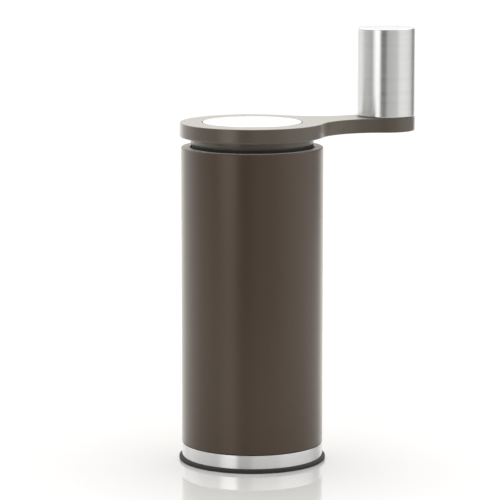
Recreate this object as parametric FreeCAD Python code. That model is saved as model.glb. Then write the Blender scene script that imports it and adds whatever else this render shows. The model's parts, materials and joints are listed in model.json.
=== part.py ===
import FreeCAD, Part
import math
import os

# A hand crank coffee grinder: a slim tube with a hopper, a conical burr pair and a cup inside, and a
# crank with a turning knob on top. Millimetres, +Z up, origin at the centre of the foot's underside.
# The crank arm points along +X.

V = FreeCAD.Vector
UP = V(0, 0, 1)

# ---- Fits ----
FIT = 0.05  # radial clearance of running and push fits
SEAT = 0.05  # gap where one moving piece rests on another
GAP = 0.3  # gap between pieces that pass each other
OVER = 1.0  # how far a cutter, or the root of a joined piece, runs past a face

# ---- Body tube ----
TUBE_R = 29.0
TUBE_WALL = 1.2
HOPPER_H = 33.65  # from the burr carrier's top to the tube's rim
RIM_ROUND = 0.5
LIP_T = 1.5  # thickness of the in-turned lip
LIP_W = 3.6  # the lip reaches this far in from the tube's outside

# ---- Foot, band and cup ----
FOOT_OVERHANG = 1.15  # the foot stands this far outside the tube
FOOT_TOP = 1.6
FOOT_LIFT = 0.1  # the foot clears the table by this, and the pad fills it
FOOT_ROUND = 0.4
PAD_T = 0.6
PAD_MARGIN = 3.0  # width of the foot's rim round the pad
BAND_H = 5.6
CUP_CLEAR = 0.4  # between the cup and the tube's bore
CUP_WALL = 2.0
CUP_FLOOR = 2.5
CUP_TOP = 62.0
SEAL_R = 0.75  # section radius of the O-ring
SEAL_DROP = 4.5  # the O-ring lies this far above the tube's lower edge

# ---- Burr stack, from below ----
CUP_TO_RETAINER = 4.3
RETAINER_T = 1.5
RETAINER_BITE = 0.5  # depth of the snap ring's groove in the tube
RETAINER_W = 2.8
RETAINER_OPENING = 8.0
CLAMP_T = 3.0
BURR_RING_H = 18.0
BURR_RING_WALL = 4.7  # from the cone's base to the ring burr's outside
CARRIER_WEB = 7.2  # height of the carrier above the ring burr
CONE_R = 18.8  # tooth tips at the base of the cone burr
CONE_GAP = 0.7  # between the two burrs' teeth with the dial in the middle
CONE_SLOPE = 0.45  # radius lost per mm of height
TOOTH_LEAN = 0.35  # a tooth's steep side, as a share of the step to the next tooth
FINE_TWIST = 0.12  # turn of the fine teeth from their foot to their top, in radians
CONE_LIFT = 0.8  # the cone's base above the ring burr's lower face
FINE_H = 8.0  # height of the fine teeth
FEED_H = 7.6  # height of the feed ribs above them
FINE_TEETH = 36
FINE_DEPTH = 0.9
FEED_RIBS = 6
FEED_TIP_R = 10.5  # feed ribs at the cone's top
FEED_DEPTH = 1.8
FEED_TWIST = 0.48  # turn of the feed ribs, in radians
RING_GROOVE = 4.4  # depth of the ring burr's feed grooves at its mouth
RING_TWIST = 0.33  # turn of the feed grooves, in radians
RING_LEDGE = 3.5  # the carrier's ledge over the ring burr
MOUTH_STEP = 0.8  # the ring burr's fine teeth reach this far above the cone's

# ---- Shaft and bearings ----
SHAFT_R = 4.0
THREAD_R = 2.5
FLAT_STEP = 0.4  # the flats stand this far outside the thread
HEX_AF = 6.0
HEX_H = 11.0
BUSH_WALL = 2.0
HUB_WALL = 2.45
SPOKE_W = 4.0
SPOKES = 3
SPIDER_H = 4.0
SPIDER_RIM = 1.9
SPIDER_DROP = 17.65  # from the rim of the tube to the top of the spider's ring
HUB_OVER = 2.0  # the upper hub stands above and below its spokes
CLIP_T = 1.0
WASHER_T = 0.9
PLAY = 0.2  # axial play at the clips and washers
FUNNEL_SHARE = 0.7  # the funnel's upper edge, as a share of the way up to the spider

# ---- Adjuster ----
PITCH_TRAVEL = 0.8  # travel of the cone burr each way
DISC_T = 1.4
DISC_R = 12.0
DETENTS = 12
DETENT_CIRCLE = 9.0
BALL_R = 1.1
DETENT_HOLE = 0.8  # a detent hole's radius, as a share of the ball's
DIAL_R = 15.0
DIAL_H = 9.7
DIAL_LOBES = 10
DIAL_SCALLOP = 2.2
DIAL_ROUND = 0.8
NUT_AF = 11.0
NUT_H = 9.0

# ---- Burr spring ----
SPRING_WIRE = 0.45  # wire radius
SPRING_SIDES = 8  # the wire's section is a polygon
SPRING_OFF_SHAFT = 0.95
SPRING_OFF_POCKET = 0.75
SPRING_PITCH = 1.42
SPRING_POCKET = 6.2

# ---- Crank ----
CRANK_R = 60.0  # from the shaft's axis to the knob's axis
PLATE_T = 5.8
PLATE_OVERHANG = 0.5  # the plate stands this far outside the tube
PLATE_ROUND = 0.4
WAIST_R = 25.5  # radius of the concave sides
COLLAR_H = 3.0
COLLAR_INSET = 0.4  # the collar's radius is this much less than the mouth's
RIM_GAP = 1.25  # the dark gap between the tube's rim and the collar
INLAY_R = 20.2
INLAY_T = 1.2
INLAY_PROUD = 0.1
INLAY_CLEAR = 0.15
PLUG_DEPTH = 6.9
PLUG_CLEAR = 0.5  # between the plug and the tube's mouth
PLUG_WALL = 2.0
SOCKET_R = 7.0
SOCKET_RISE = 5.5  # the socket goes this far up into the collar
MAGNET_H = 3.0
MAGNET_R = 2.8
LID_SCREW_CIRCLE = 17.0

# ---- Knob ----
KNOB_R = 12.15
KNOB_H = 36.4
KNOB_WALL = 0.8
KNOB_ROUND = 0.7
KNOB_LIFT = 0.4  # the knob's lower edge above the plate
SPINDLE_R = 3.0
SPINDLE_SHORT = 8.5  # from the spindle's top to the knob's top
KNOB_BUSH_WALL = 1.5
KNOB_BUSH_L = 6.0
SPINDLE_GRIP = 3.3  # the spindle goes this far into the plate
CLIP_DROP = 2.1  # from the spindle's top to its clip's underside
KNOB_WASHER_W = 5.1
KNOB_FLOAT = 0.1  # between the washer and the knob

# ---- Screws ----
SCREWS = 3
SMALL_SCREW = 1.0  # shank radius of the clamp screws
SCREW = 1.25  # shank radius of the others
HEAD_EXTRA = 0.95  # a head's radius above its shank's
HEAD_H = 1.0
SCREW_L = 6.0
FOOT_SCREW_CIRCLE = 15.0
FOOT_SCREW_BITE = 2.0

# ---- Worked out from the sizes above ----
BORE_R = TUBE_R - TUBE_WALL
MOUTH_R = TUBE_R - LIP_W
INNER_R = BORE_R - FIT
CUP_R = BORE_R - CUP_CLEAR
BAND_TOP = FOOT_TOP + BAND_H
TUBE_BOTTOM = BAND_TOP + GAP
RETAINER_Z = CUP_TOP + CUP_TO_RETAINER
CLAMP_Z = RETAINER_Z + RETAINER_T
CARRIER_Z = CLAMP_Z + CLAMP_T
RING_TOP = CARRIER_Z + BURR_RING_H
CARRIER_TOP = RING_TOP + CARRIER_WEB
TUBE_TOP = CARRIER_TOP + HOPPER_H
RING_OUT_R = CONE_R + BURR_RING_WALL
BEAN_WINDOW_R = RING_OUT_R - RING_LEDGE
CONE_Z = CARRIER_Z + CONE_LIFT
CONE_TOP = CONE_Z + FINE_H + FEED_H
FINE_TOP_R = CONE_R - CONE_SLOPE * FINE_H
DISC_Z = CONE_Z - DISC_T
DIAL_TOP = DISC_Z - GAP
DIAL_Z = DIAL_TOP - DIAL_H
NUT_TOP = DISC_Z - SEAT
SPIDER_TOP = TUBE_TOP - SPIDER_DROP
SPIDER_Z = SPIDER_TOP - SPIDER_H
LOWER_HUB_Z = RING_TOP + WASHER_T
WASHER_Z = LOWER_HUB_Z - PLAY - WASHER_T
FLAT_HALF = THREAD_R + FLAT_STEP
BUSH_R = SHAFT_R + FIT + BUSH_WALL
HUB_R = BUSH_R + HUB_WALL
CLIP_R = SHAFT_R + 2 * CLIP_T
CLIP_Z = SPIDER_TOP + HUB_OVER + PLAY
SPRING_R = SHAFT_R + SPRING_OFF_SHAFT + SPRING_WIRE
SPRING_POCKET_R = SPRING_R + SPRING_WIRE + SPRING_OFF_POCKET
COLLAR_Z = TUBE_TOP + RIM_GAP
PLATE_Z = COLLAR_Z + COLLAR_H
PLATE_TOP = PLATE_Z + PLATE_T
COLLAR_R = MOUTH_R - COLLAR_INSET
PLATE_R = TUBE_R + PLATE_OVERHANG
PLUG_R = MOUTH_R - PLUG_CLEAR
PLUG_Z = COLLAR_Z - PLUG_DEPTH
SHAFT_TOP = COLLAR_Z + FIT
HEX_Z = SHAFT_TOP - HEX_H
KNOB_Z = PLATE_TOP + KNOB_LIFT
KNOB_TOP = KNOB_Z + KNOB_H
SPINDLE_TOP = KNOB_TOP - SPINDLE_SHORT
SPINDLE_CLIP_Z = SPINDLE_TOP - CLIP_DROP
KNOB_BUSH_TOP = SPINDLE_CLIP_Z - PLAY


def rod(radius, low, high, x=0.0, y=0.0):
    """A solid cylinder between two heights."""
    return Part.makeCylinder(radius, high - low, V(x, y, low))


def ring(inner, outer, low, high, x=0.0, y=0.0):
    """A plain ring between two heights."""
    return rod(outer, low, high, x, y).cut(rod(inner, low - OVER, high + OVER, x, y))


def turned(outline, x=0.0):
    """A solid of revolution about a vertical axis, from (radius, height) points."""
    points = [V(x + radius, 0, height) for radius, height in outline]
    face = Part.Face(Part.makePolygon(points + points[:1]))
    return face.revolve(V(x, 0, 0), UP, 360)


def around(count, radius, start=0.0):
    """Evenly spaced (x, y) points on a circle."""
    turn = 2 * math.pi / count
    return [(radius * math.cos(start + k * turn), radius * math.sin(start + k * turn)) for k in range(count)]


def hexagon(across_flats, low, high):
    """A hexagonal bar."""
    corners = around(6, across_flats / 2 / math.cos(math.pi / 6))
    points = [V(x, y, low) for x, y in corners]
    return Part.Face(Part.makePolygon(points + points[:1])).extrude(V(0, 0, high - low))


def flatted(radius, half, low, high):
    """A round bar with two flats, for a bore or a shaft that it drives."""
    bar = Part.makeBox(2 * half, 4 * radius, high - low, V(-half, -2 * radius, low))
    return rod(radius, low, high).common(bar)


def star(count, tip, valley, height, turn):
    """A closed zigzag of tips and valleys at one height."""
    step = 2 * math.pi / count
    points = []
    for k in range(count):
        points.append(V(tip * math.cos(k * step + turn), tip * math.sin(k * step + turn), height))
        low = (k + TOOTH_LEAN) * step + turn
        points.append(V(valley * math.cos(low), valley * math.sin(low), height))
    return Part.makePolygon(points + points[:1])


def toothed(count, low, high):
    """A toothed cone between two (tip, valley, height, turn) sections."""
    return Part.makeLoft([star(count, *low), star(count, *high)], True, True)


def rounded(solid, radius, wanted):
    """The solid with a fillet on the edges that the test picks."""
    return solid.makeFillet(radius, [edge for edge in solid.Edges if wanted(edge)])


def at_height(height):
    """A test for edges that lie at one height."""
    return lambda edge: abs(edge.BoundBox.ZMin - height) < 1e-4 and abs(edge.BoundBox.ZMax - height) < 1e-4


def screw(shank, low, high, x, y):
    """A countersunk screw with its head at the lower end."""
    cone = Part.makeCone(shank + HEAD_EXTRA, shank, HEAD_H, V(x, y, low))
    return joined(rod(shank, low, high, x, y), [cone])


def spokes(width, inner, outer, low, high):
    """Radial bars, evenly spaced, the first one along +Y."""
    bars = []
    for k in range(SPOKES):
        bar = Part.makeBox(outer - inner, width, high - low, V(inner, -width / 2, low))
        bar.rotate(V(0, 0, 0), UP, 90 + k * 360 / SPOKES)
        bars.append(bar)
    return bars


def joined(first, others):
    """One solid from several that meet."""
    return first.fuse(others).removeSplitter()


def save(node, shape):
    """Writes one node's STEP file."""
    if not shape.isValid():
        raise ValueError(node + " is not a valid solid")
    shape.exportStep("parts/" + node + ".step")
    low, high = shape.BoundBox.ZMin, shape.BoundBox.ZMax
    print(f"{node:18s} {len(shape.Solids)} solid(s) {shape.Volume:10.1f} mm3  z {low:.2f} to {high:.2f}")


# ---- Housing ----


def outer_tube():
    """The drawn tube with its lip, and the groove of the snap ring."""
    shell = turned([(BORE_R, TUBE_BOTTOM), (TUBE_R, TUBE_BOTTOM), (TUBE_R, TUBE_TOP), (MOUTH_R, TUBE_TOP),
                    (MOUTH_R, TUBE_TOP - LIP_T), (BORE_R, TUBE_TOP - LIP_T)])
    groove = rod(BORE_R + RETAINER_BITE + FIT, RETAINER_Z - FIT, CLAMP_Z + FIT)
    shell = shell.cut(groove)
    return rounded(shell, RIM_ROUND, lambda e: at_height(TUBE_TOP)(e) and e.BoundBox.XMax > BORE_R)


def hopper_liner():
    """The hopper's wall: a ledge for the spider, then a funnel down to the burrs."""
    ledge_r = MOUTH_R - SPIDER_RIM + FIT
    funnel_z = CARRIER_TOP + (SPIDER_Z - CARRIER_TOP) * FUNNEL_SHARE
    return turned([(BEAN_WINDOW_R, CARRIER_TOP), (INNER_R, CARRIER_TOP), (INNER_R, TUBE_TOP - LIP_T),
                   (MOUTH_R, TUBE_TOP - LIP_T), (MOUTH_R, SPIDER_Z), (ledge_r, SPIDER_Z),
                   (ledge_r, funnel_z)])


def upper_spider():
    """The upper bearing's bracket, dropped in from the mouth onto the liner's ledge."""
    rim_r = MOUTH_R - FIT
    rim = ring(rim_r - SPIDER_RIM, rim_r, SPIDER_Z, SPIDER_TOP)
    hub = rod(HUB_R, SPIDER_Z - HUB_OVER, SPIDER_TOP + HUB_OVER)
    bars = spokes(SPOKE_W, HUB_R - OVER, rim_r - SPIDER_RIM / 2, SPIDER_Z, SPIDER_TOP)
    bore = rod(BUSH_R, SPIDER_Z - HUB_OVER - OVER, SPIDER_TOP + HUB_OVER + OVER)
    return joined(hub, bars + [rim]).cut(bore)


def upper_bush():
    """The upper bearing."""
    return ring(SHAFT_R + FIT, BUSH_R, SPIDER_Z - HUB_OVER, SPIDER_TOP + HUB_OVER)


def burr_carrier():
    """The ring burr's holder, with the lower bearing's hub on three spokes."""
    wall = ring(RING_OUT_R, INNER_R, CARRIER_Z, RING_TOP)
    web = ring(BEAN_WINDOW_R, INNER_R, RING_TOP, CARRIER_TOP)
    hub = rod(HUB_R, LOWER_HUB_Z, CARRIER_TOP)
    bars = spokes(SPOKE_W, HUB_R - OVER, BEAN_WINDOW_R + OVER, LOWER_HUB_Z + HUB_OVER / 2, CARRIER_TOP)
    body = joined(web, [wall, hub] + bars).cut(rod(BUSH_R, RING_TOP, CARRIER_TOP + OVER))
    for x, y in clamp_points():
        body = body.cut(rod(SMALL_SCREW, CARRIER_Z, CLAMP_Z + SCREW_L, x, y))
    return body


def lower_bush():
    """The lower bearing."""
    return ring(SHAFT_R + FIT, BUSH_R, LOWER_HUB_Z, CARRIER_TOP)


def ring_sections():
    """The ring burr's inner sections: its lower face, the top of the fine teeth, and its mouth."""
    base = CONE_R + CONE_GAP + CONE_SLOPE * CONE_LIFT
    top_z = CONE_Z + FINE_H + MOUTH_STEP
    top = base - CONE_SLOPE * (top_z - CARRIER_Z)
    return base, top, top_z


def outer_burr():
    """The ring burr: fine teeth below, wide feed grooves above."""
    base, top, top_z = ring_sections()
    blank = rod(RING_OUT_R, CARRIER_Z, RING_TOP)
    # The points of each cutting star make the grooves between the teeth.
    fine = toothed(FINE_TEETH, (base + FINE_DEPTH, base, CARRIER_Z, 0.0),
                   (top + FINE_DEPTH, top, top_z, FINE_TWIST))
    feed = toothed(FEED_RIBS, (top + FINE_DEPTH, top, top_z, FINE_TWIST),
                   (top + RING_GROOVE, top, RING_TOP, FINE_TWIST + RING_TWIST))
    core = rod(top, top_z - OVER, RING_TOP)
    return blank.cut(fine).cut(feed).cut(core)


def burr_clamp_ring():
    """The ring that holds the ring burr up in the carrier."""
    inner = CONE_R + BURR_RING_WALL / 2 + FIT
    body = ring(inner, INNER_R, CLAMP_Z, CARRIER_Z)
    for x, y in clamp_points():
        body = body.cut(screw(SMALL_SCREW, CLAMP_Z, CARRIER_Z + OVER, x, y))
    return body


def clamp_points():
    """The clamp screws' places, midway in the carrier's wall."""
    return around(SCREWS, (RING_OUT_R + INNER_R) / 2, math.pi / 6)


def clamp_screws():
    """Three countersunk screws, heads down."""
    top = CLAMP_Z + SCREW_L
    return Part.makeCompound([screw(SMALL_SCREW, CLAMP_Z, top, x, y) for x, y in clamp_points()])


def retaining_ring():
    """A snap ring, open at the back."""
    outer = BORE_R + RETAINER_BITE
    body = ring(outer - RETAINER_W, outer, RETAINER_Z, CLAMP_Z)
    opening = Part.makeBox(RETAINER_OPENING, outer, RETAINER_T, V(-RETAINER_OPENING / 2, 0, RETAINER_Z))
    return body.cut(opening)


# ---- Shaft, cone burr and adjuster ----


def drive_shaft():
    """Threaded foot, flats for the cone burr, round journals and a hexagonal head."""
    flats_z = CONE_Z + PITCH_TRAVEL - SEAT
    shoulder_z = WASHER_Z + WASHER_T
    thread = rod(THREAD_R, DIAL_Z - 2 * PITCH_TRAVEL, flats_z)
    flats = flatted(SHAFT_R, FLAT_HALF, flats_z, shoulder_z)
    round_bar = rod(SHAFT_R, shoulder_z, HEX_Z)
    head = hexagon(HEX_AF, HEX_Z, SHAFT_TOP)
    body = joined(round_bar, [thread, flats, head])
    return body.cut(ring(SHAFT_R - CLIP_T / 2, CLIP_R, CLIP_Z, CLIP_Z + CLIP_T))


def shaft_circlip():
    """The clip that hangs the shaft on the upper bush."""
    body = ring(SHAFT_R - CLIP_T / 2, CLIP_R, CLIP_Z, CLIP_Z + CLIP_T)
    return body.cut(Part.makeBox(SHAFT_R, CLIP_R, CLIP_T, V(-SHAFT_R / 2, 0, CLIP_Z)))


def thrust_washer():
    """The washer between the lower bush and the burr's spring, up against the shaft's shoulder."""
    bore = flatted(SHAFT_R, FLAT_HALF, WASHER_Z - OVER, WASHER_Z + WASHER_T + OVER)
    return rod(BUSH_R, WASHER_Z, WASHER_Z + WASHER_T).cut(bore)


def inner_burr():
    """The cone burr: fine teeth below, six feed ribs above, a pocket for its spring."""
    fine_top = CONE_Z + FINE_H
    fine = toothed(FINE_TEETH, (CONE_R, CONE_R - FINE_DEPTH, CONE_Z, 0.0),
                   (FINE_TOP_R, FINE_TOP_R - FINE_DEPTH, fine_top, -FINE_TWIST))
    feed = toothed(FEED_RIBS, (FINE_TOP_R, FINE_TOP_R - FINE_DEPTH, fine_top, -FINE_TWIST),
                   (FEED_TIP_R, FEED_TIP_R - FEED_DEPTH, CONE_TOP, -FINE_TWIST - FEED_TWIST))
    body = fine.fuse(feed)
    bore = flatted(SHAFT_R + FIT, FLAT_HALF + FIT, CONE_Z - OVER, CONE_TOP + OVER)
    pocket = rod(SPRING_POCKET_R, CONE_TOP - SPRING_POCKET, CONE_TOP + OVER)
    return body.cut(bore.fuse(pocket))


def click_disc():
    """The detent disc under the cone burr, driven by the shaft's flats."""
    bore = flatted(SHAFT_R + FIT, FLAT_HALF + FIT, DISC_Z - OVER, CONE_Z + OVER)
    hole_r = BALL_R * DETENT_HOLE
    holes = [rod(hole_r, DISC_Z - OVER, CONE_Z + OVER, x, y) for x, y in around(DETENTS, DETENT_CIRCLE)]
    return rod(DISC_R, DISC_Z, CONE_Z).cut(bore).cut(Part.makeCompound(holes))


def burr_spring():
    """The coil spring in the cone burr's pocket, up against the thrust washer."""
    low = CONE_TOP - SPRING_POCKET + SPRING_WIRE + SEAT
    high = WASHER_Z - SPRING_WIRE - SEAT
    helix = Part.makeHelix(SPRING_PITCH, high - low, SPRING_R)
    start = helix.Edges[0]
    place = start.valueAt(start.FirstParameter)
    along = start.tangentAt(start.FirstParameter)
    across = along.cross(UP).normalize()
    upward = across.cross(along).normalize()
    section = [place + across * x + upward * y for x, y in around(SPRING_SIDES, SPRING_WIRE)]
    wire = Part.makePolygon(section + section[:1])
    coil = Part.Wire(helix.Edges).makePipeShell([wire], True, True)
    coil.translate(V(0, 0, low))
    return coil


def adjuster_dial():
    """The lobed dial under the burrs, turned from below with the cup off."""
    body = rod(DIAL_R, DIAL_Z, DIAL_TOP)
    body = rounded(body, DIAL_ROUND, lambda e: at_height(DIAL_Z)(e) or at_height(DIAL_TOP)(e))
    scallops = [rod(DIAL_SCALLOP, DIAL_Z - OVER, DIAL_TOP + OVER, x, y)
                for x, y in around(DIAL_LOBES, DIAL_R + DIAL_SCALLOP / 2)]
    pockets = [rod(BALL_R + FIT, DIAL_TOP - 2 * BALL_R, DIAL_TOP + OVER, x, y)
               for x, y in around(2, DETENT_CIRCLE)]
    seat = hexagon(NUT_AF, NUT_TOP - NUT_H, DIAL_TOP + OVER)
    bore = rod(THREAD_R + GAP, DIAL_Z - OVER, DIAL_TOP + OVER)
    return body.cut(Part.makeCompound(scallops)).cut(Part.makeCompound(pockets)).cut(seat.fuse(bore))


def adjuster_nut():
    """The brass nut that runs on the shaft's thread and carries the cone burr."""
    return hexagon(NUT_AF, NUT_TOP - NUT_H, NUT_TOP).cut(rod(THREAD_R + FIT, DIAL_Z, NUT_TOP + OVER))


def detent_balls():
    """The two click balls."""
    height = DISC_Z - SEAT - BALL_R
    return Part.makeCompound([Part.makeSphere(BALL_R, V(x, y, height)) for x, y in around(2, DETENT_CIRCLE)])


# ---- Crank ----


def plate_outline(height):
    """The keyhole outline: two round ends joined by tangent hollow sides."""
    knob_end = V(CRANK_R, 0, height)
    big = PLATE_R + WAIST_R
    small = KNOB_R + WAIST_R
    waist_x = (CRANK_R ** 2 + big ** 2 - small ** 2) / (2 * CRANK_R)
    waist_y = math.sqrt(big ** 2 - waist_x ** 2)

    def side(sign):
        """Both tangent points and the middle of one hollow side."""
        centre = V(waist_x, sign * waist_y, height)
        on_big = V(waist_x, sign * waist_y, 0) * (PLATE_R / big) + V(0, 0, height)
        on_small = knob_end + (centre - knob_end) * (KNOB_R / small)
        chord = (on_big + on_small) * 0.5 - centre
        return on_big, centre + chord.normalize() * WAIST_R, on_small

    big_a, waist_a, small_a = side(1)
    big_b, waist_b, small_b = side(-1)
    arcs = [
        Part.Arc(big_a, V(-PLATE_R, 0, height), big_b),
        Part.Arc(big_b, waist_b, small_b),
        Part.Arc(small_b, V(CRANK_R + KNOB_R, 0, height), small_a),
        Part.Arc(small_a, waist_a, big_a),
    ]
    return Part.Wire([arc.toShape() for arc in arcs])


def lid_screw_points():
    """The plug screws' places."""
    return around(SCREWS, LID_SCREW_CIRCLE, math.pi / 3)


def crank_arm():
    """The flat plate and the collar under it."""
    plate = Part.Face(plate_outline(PLATE_Z)).extrude(V(0, 0, PLATE_T))
    plate = rounded(plate, PLATE_ROUND, lambda e: at_height(PLATE_Z)(e) or at_height(PLATE_TOP)(e))
    body = joined(plate, [rod(COLLAR_R, COLLAR_Z, PLATE_Z + OVER)])
    cuts = [
        rod(INLAY_R + INLAY_CLEAR, PLATE_TOP + INLAY_PROUD - INLAY_T, PLATE_TOP + OVER),
        rod(SOCKET_R, COLLAR_Z - OVER, COLLAR_Z + SOCKET_RISE),
        rod(SPINDLE_R, PLATE_TOP - SPINDLE_GRIP, PLATE_TOP + OVER, CRANK_R),
        screw(SCREW, PLATE_Z, PLATE_TOP, CRANK_R, 0),
    ]
    tap_top = COLLAR_Z + SCREW_L - PLUG_WALL
    cuts += [rod(SCREW, COLLAR_Z - OVER, tap_top, x, y) for x, y in lid_screw_points()]
    for cut in cuts:
        body = body.cut(cut)
    return body


def crank_inlay():
    """The round disc let into the plate's top."""
    top = PLATE_TOP + INLAY_PROUD
    return rounded(rod(INLAY_R, top - INLAY_T, top), INLAY_PROUD, at_height(top))


def hub_socket():
    """The hexagon socket that drives the shaft, with the magnet's pocket above it."""
    bottom = HEX_Z + SEAT
    body = rod(SOCKET_R, bottom, COLLAR_Z + SOCKET_RISE)
    body = body.cut(hexagon(HEX_AF + 2 * FIT, bottom - OVER, SHAFT_TOP + GAP))
    return body.cut(rod(MAGNET_R, SHAFT_TOP + GAP - FIT, SHAFT_TOP + GAP + MAGNET_H))


def hub_magnet():
    """The magnet above the shaft's end."""
    return rod(MAGNET_R, SHAFT_TOP + GAP, SHAFT_TOP + GAP + MAGNET_H)


def lid_plug():
    """The moulded plug that fills the mouth, hollow from below."""
    top = COLLAR_Z - PLUG_WALL
    body = rod(PLUG_R, PLUG_Z, COLLAR_Z)
    body = body.cut(ring(SOCKET_R + PLUG_WALL, PLUG_R - PLUG_WALL, PLUG_Z - OVER, top))
    body = body.cut(rod(SOCKET_R, PLUG_Z - OVER, COLLAR_Z + OVER))
    for x, y in lid_screw_points():
        body = body.cut(screw(SCREW, top, COLLAR_Z + OVER, x, y))
    return body


def lid_screws():
    """Three countersunk screws that hold the plug to the collar."""
    low = COLLAR_Z - PLUG_WALL
    return Part.makeCompound([screw(SCREW, low, low + SCREW_L, x, y) for x, y in lid_screw_points()])


def knob_spindle():
    """The fixed spindle, pressed into the plate."""
    body = rod(SPINDLE_R, PLATE_TOP - SPINDLE_GRIP, SPINDLE_TOP, CRANK_R)
    groove = ring(SPINDLE_R - CLIP_T / 2, SPINDLE_R + OVER, SPINDLE_CLIP_Z, SPINDLE_CLIP_Z + CLIP_T, CRANK_R)
    tap = rod(SCREW, PLATE_TOP - SPINDLE_GRIP - OVER, PLATE_TOP + SCREW_L, CRANK_R)
    return body.cut(groove).cut(tap)


def spindle_screw():
    """The countersunk screw that holds the spindle from under the plate."""
    return screw(SCREW, PLATE_Z, PLATE_TOP + SCREW_L, CRANK_R, 0)


def spindle_washer():
    """The thin washer that the knob runs on."""
    return ring(SPINDLE_R, SPINDLE_R + KNOB_WASHER_W, PLATE_TOP, KNOB_Z - KNOB_FLOAT, CRANK_R)


def spindle_clip():
    """The clip that keeps the knob on the spindle."""
    top = SPINDLE_CLIP_Z + CLIP_T
    body = ring(SPINDLE_R - CLIP_T / 2, SPINDLE_R + 2 * CLIP_T, SPINDLE_CLIP_Z, top, CRANK_R)
    slot = Part.makeBox(SPINDLE_R, 2 * SPINDLE_R, CLIP_T, V(CRANK_R - SPINDLE_R / 2, 0, SPINDLE_CLIP_Z))
    return body.cut(slot)


# ---- Knob ----


def knob_shell():
    """The drawn shell of the knob, open below."""
    body = rod(KNOB_R, KNOB_Z, KNOB_TOP, CRANK_R)
    body = rounded(body, KNOB_ROUND, at_height(KNOB_TOP))
    return body.cut(rod(KNOB_R - KNOB_WALL, KNOB_Z - OVER, KNOB_TOP - KNOB_WALL, CRANK_R))


def knob_core():
    """The moulded core inside the shell, with a pocket for the clip."""
    body = rod(KNOB_R - KNOB_WALL, KNOB_Z, KNOB_TOP - KNOB_WALL, CRANK_R)
    body = body.cut(rod(SPINDLE_R + FIT + KNOB_BUSH_WALL, KNOB_Z - OVER, KNOB_BUSH_TOP, CRANK_R))
    return body.cut(rod(SPINDLE_R + 3 * CLIP_T, KNOB_BUSH_TOP, SPINDLE_TOP + CLIP_T, CRANK_R))


def knob_bushes():
    """Two plain bushes, one at each end of the core's bore."""
    inner = SPINDLE_R + FIT
    outer = inner + KNOB_BUSH_WALL
    lows = (KNOB_Z, KNOB_BUSH_TOP - KNOB_BUSH_L)
    return Part.makeCompound([ring(inner, outer, low, low + KNOB_BUSH_L, CRANK_R) for low in lows])


# ---- Cup and foot ----


def foot_screw_points():
    """The foot screws' places."""
    return around(SCREWS, FOOT_SCREW_CIRCLE, math.pi / 2)


def grounds_cup():
    """The cup, with its O-ring groove and the screw holes in its floor."""
    seal_z = TUBE_BOTTOM + SEAL_DROP
    groove_r = BORE_R - FIT - 2 * SEAL_R
    body = rod(CUP_R, FOOT_TOP, CUP_TOP)
    body = body.cut(rod(CUP_R - CUP_WALL, FOOT_TOP + CUP_FLOOR, CUP_TOP + OVER))
    body = body.cut(ring(groove_r, CUP_R + OVER, seal_z - SEAL_R - FIT, seal_z + SEAL_R + FIT))
    for x, y in foot_screw_points():
        body = body.cut(rod(SCREW, FOOT_TOP - OVER, FOOT_TOP + FOOT_SCREW_BITE, x, y))
    return body


def base_band():
    """The steel band round the cup's base, flush with the tube."""
    return ring(CUP_R, TUBE_R, FOOT_TOP, BAND_TOP)


def base_foot():
    """The dark foot, a little wider than the tube, recessed for its pad."""
    radius = TUBE_R + FOOT_OVERHANG
    body = rod(radius, FOOT_LIFT, FOOT_TOP)
    body = rounded(body, FOOT_ROUND, lambda e: at_height(FOOT_LIFT)(e) or at_height(FOOT_TOP)(e))
    body = body.cut(rod(radius - PAD_MARGIN, FOOT_LIFT - OVER, PAD_T))
    for x, y in foot_screw_points():
        body = body.cut(screw(SCREW, PAD_T, FOOT_TOP + OVER, x, y))
    return body


def foot_pad():
    """The rubber pad that stands on the table."""
    return rod(TUBE_R + FOOT_OVERHANG - PAD_MARGIN - FIT, 0, PAD_T)


def cup_seal():
    """The O-ring that holds the cup in the tube."""
    return Part.makeTorus(BORE_R - FIT - SEAL_R, SEAL_R, V(0, 0, TUBE_BOTTOM + SEAL_DROP))


def foot_screws():
    """Three countersunk screws that hold the foot to the cup."""
    return Part.makeCompound([screw(SCREW, PAD_T, FOOT_TOP + FOOT_SCREW_BITE, x, y)
                              for x, y in foot_screw_points()])


PIECES = [
    outer_tube, hopper_liner, upper_spider, upper_bush, burr_carrier, lower_bush, outer_burr,
    burr_clamp_ring, clamp_screws, retaining_ring,
    drive_shaft, shaft_circlip, thrust_washer, inner_burr, click_disc, burr_spring,
    adjuster_dial, adjuster_nut, detent_balls,
    crank_arm, crank_inlay, hub_socket, hub_magnet, lid_plug, lid_screws,
    knob_spindle, spindle_screw, spindle_washer, spindle_clip,
    knob_shell, knob_core, knob_bushes,
    grounds_cup, base_band, base_foot, foot_pad, cup_seal, foot_screws,
]

os.makedirs("parts", exist_ok=True)
for piece in PIECES:
    save(piece.__name__, piece())
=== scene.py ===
"""Looks of a hand crank coffee grinder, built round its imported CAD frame.

Sizes in the classes are millimetres; meshes are made in metres, in the frame's own axes.
"""

import json
import logging
import math
from dataclasses import dataclass
from enum import Enum
from typing import Any, Callable, Iterable, Mapping, Sequence

import bmesh
import bpy
from mathutils import Euler, Matrix, Vector


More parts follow.
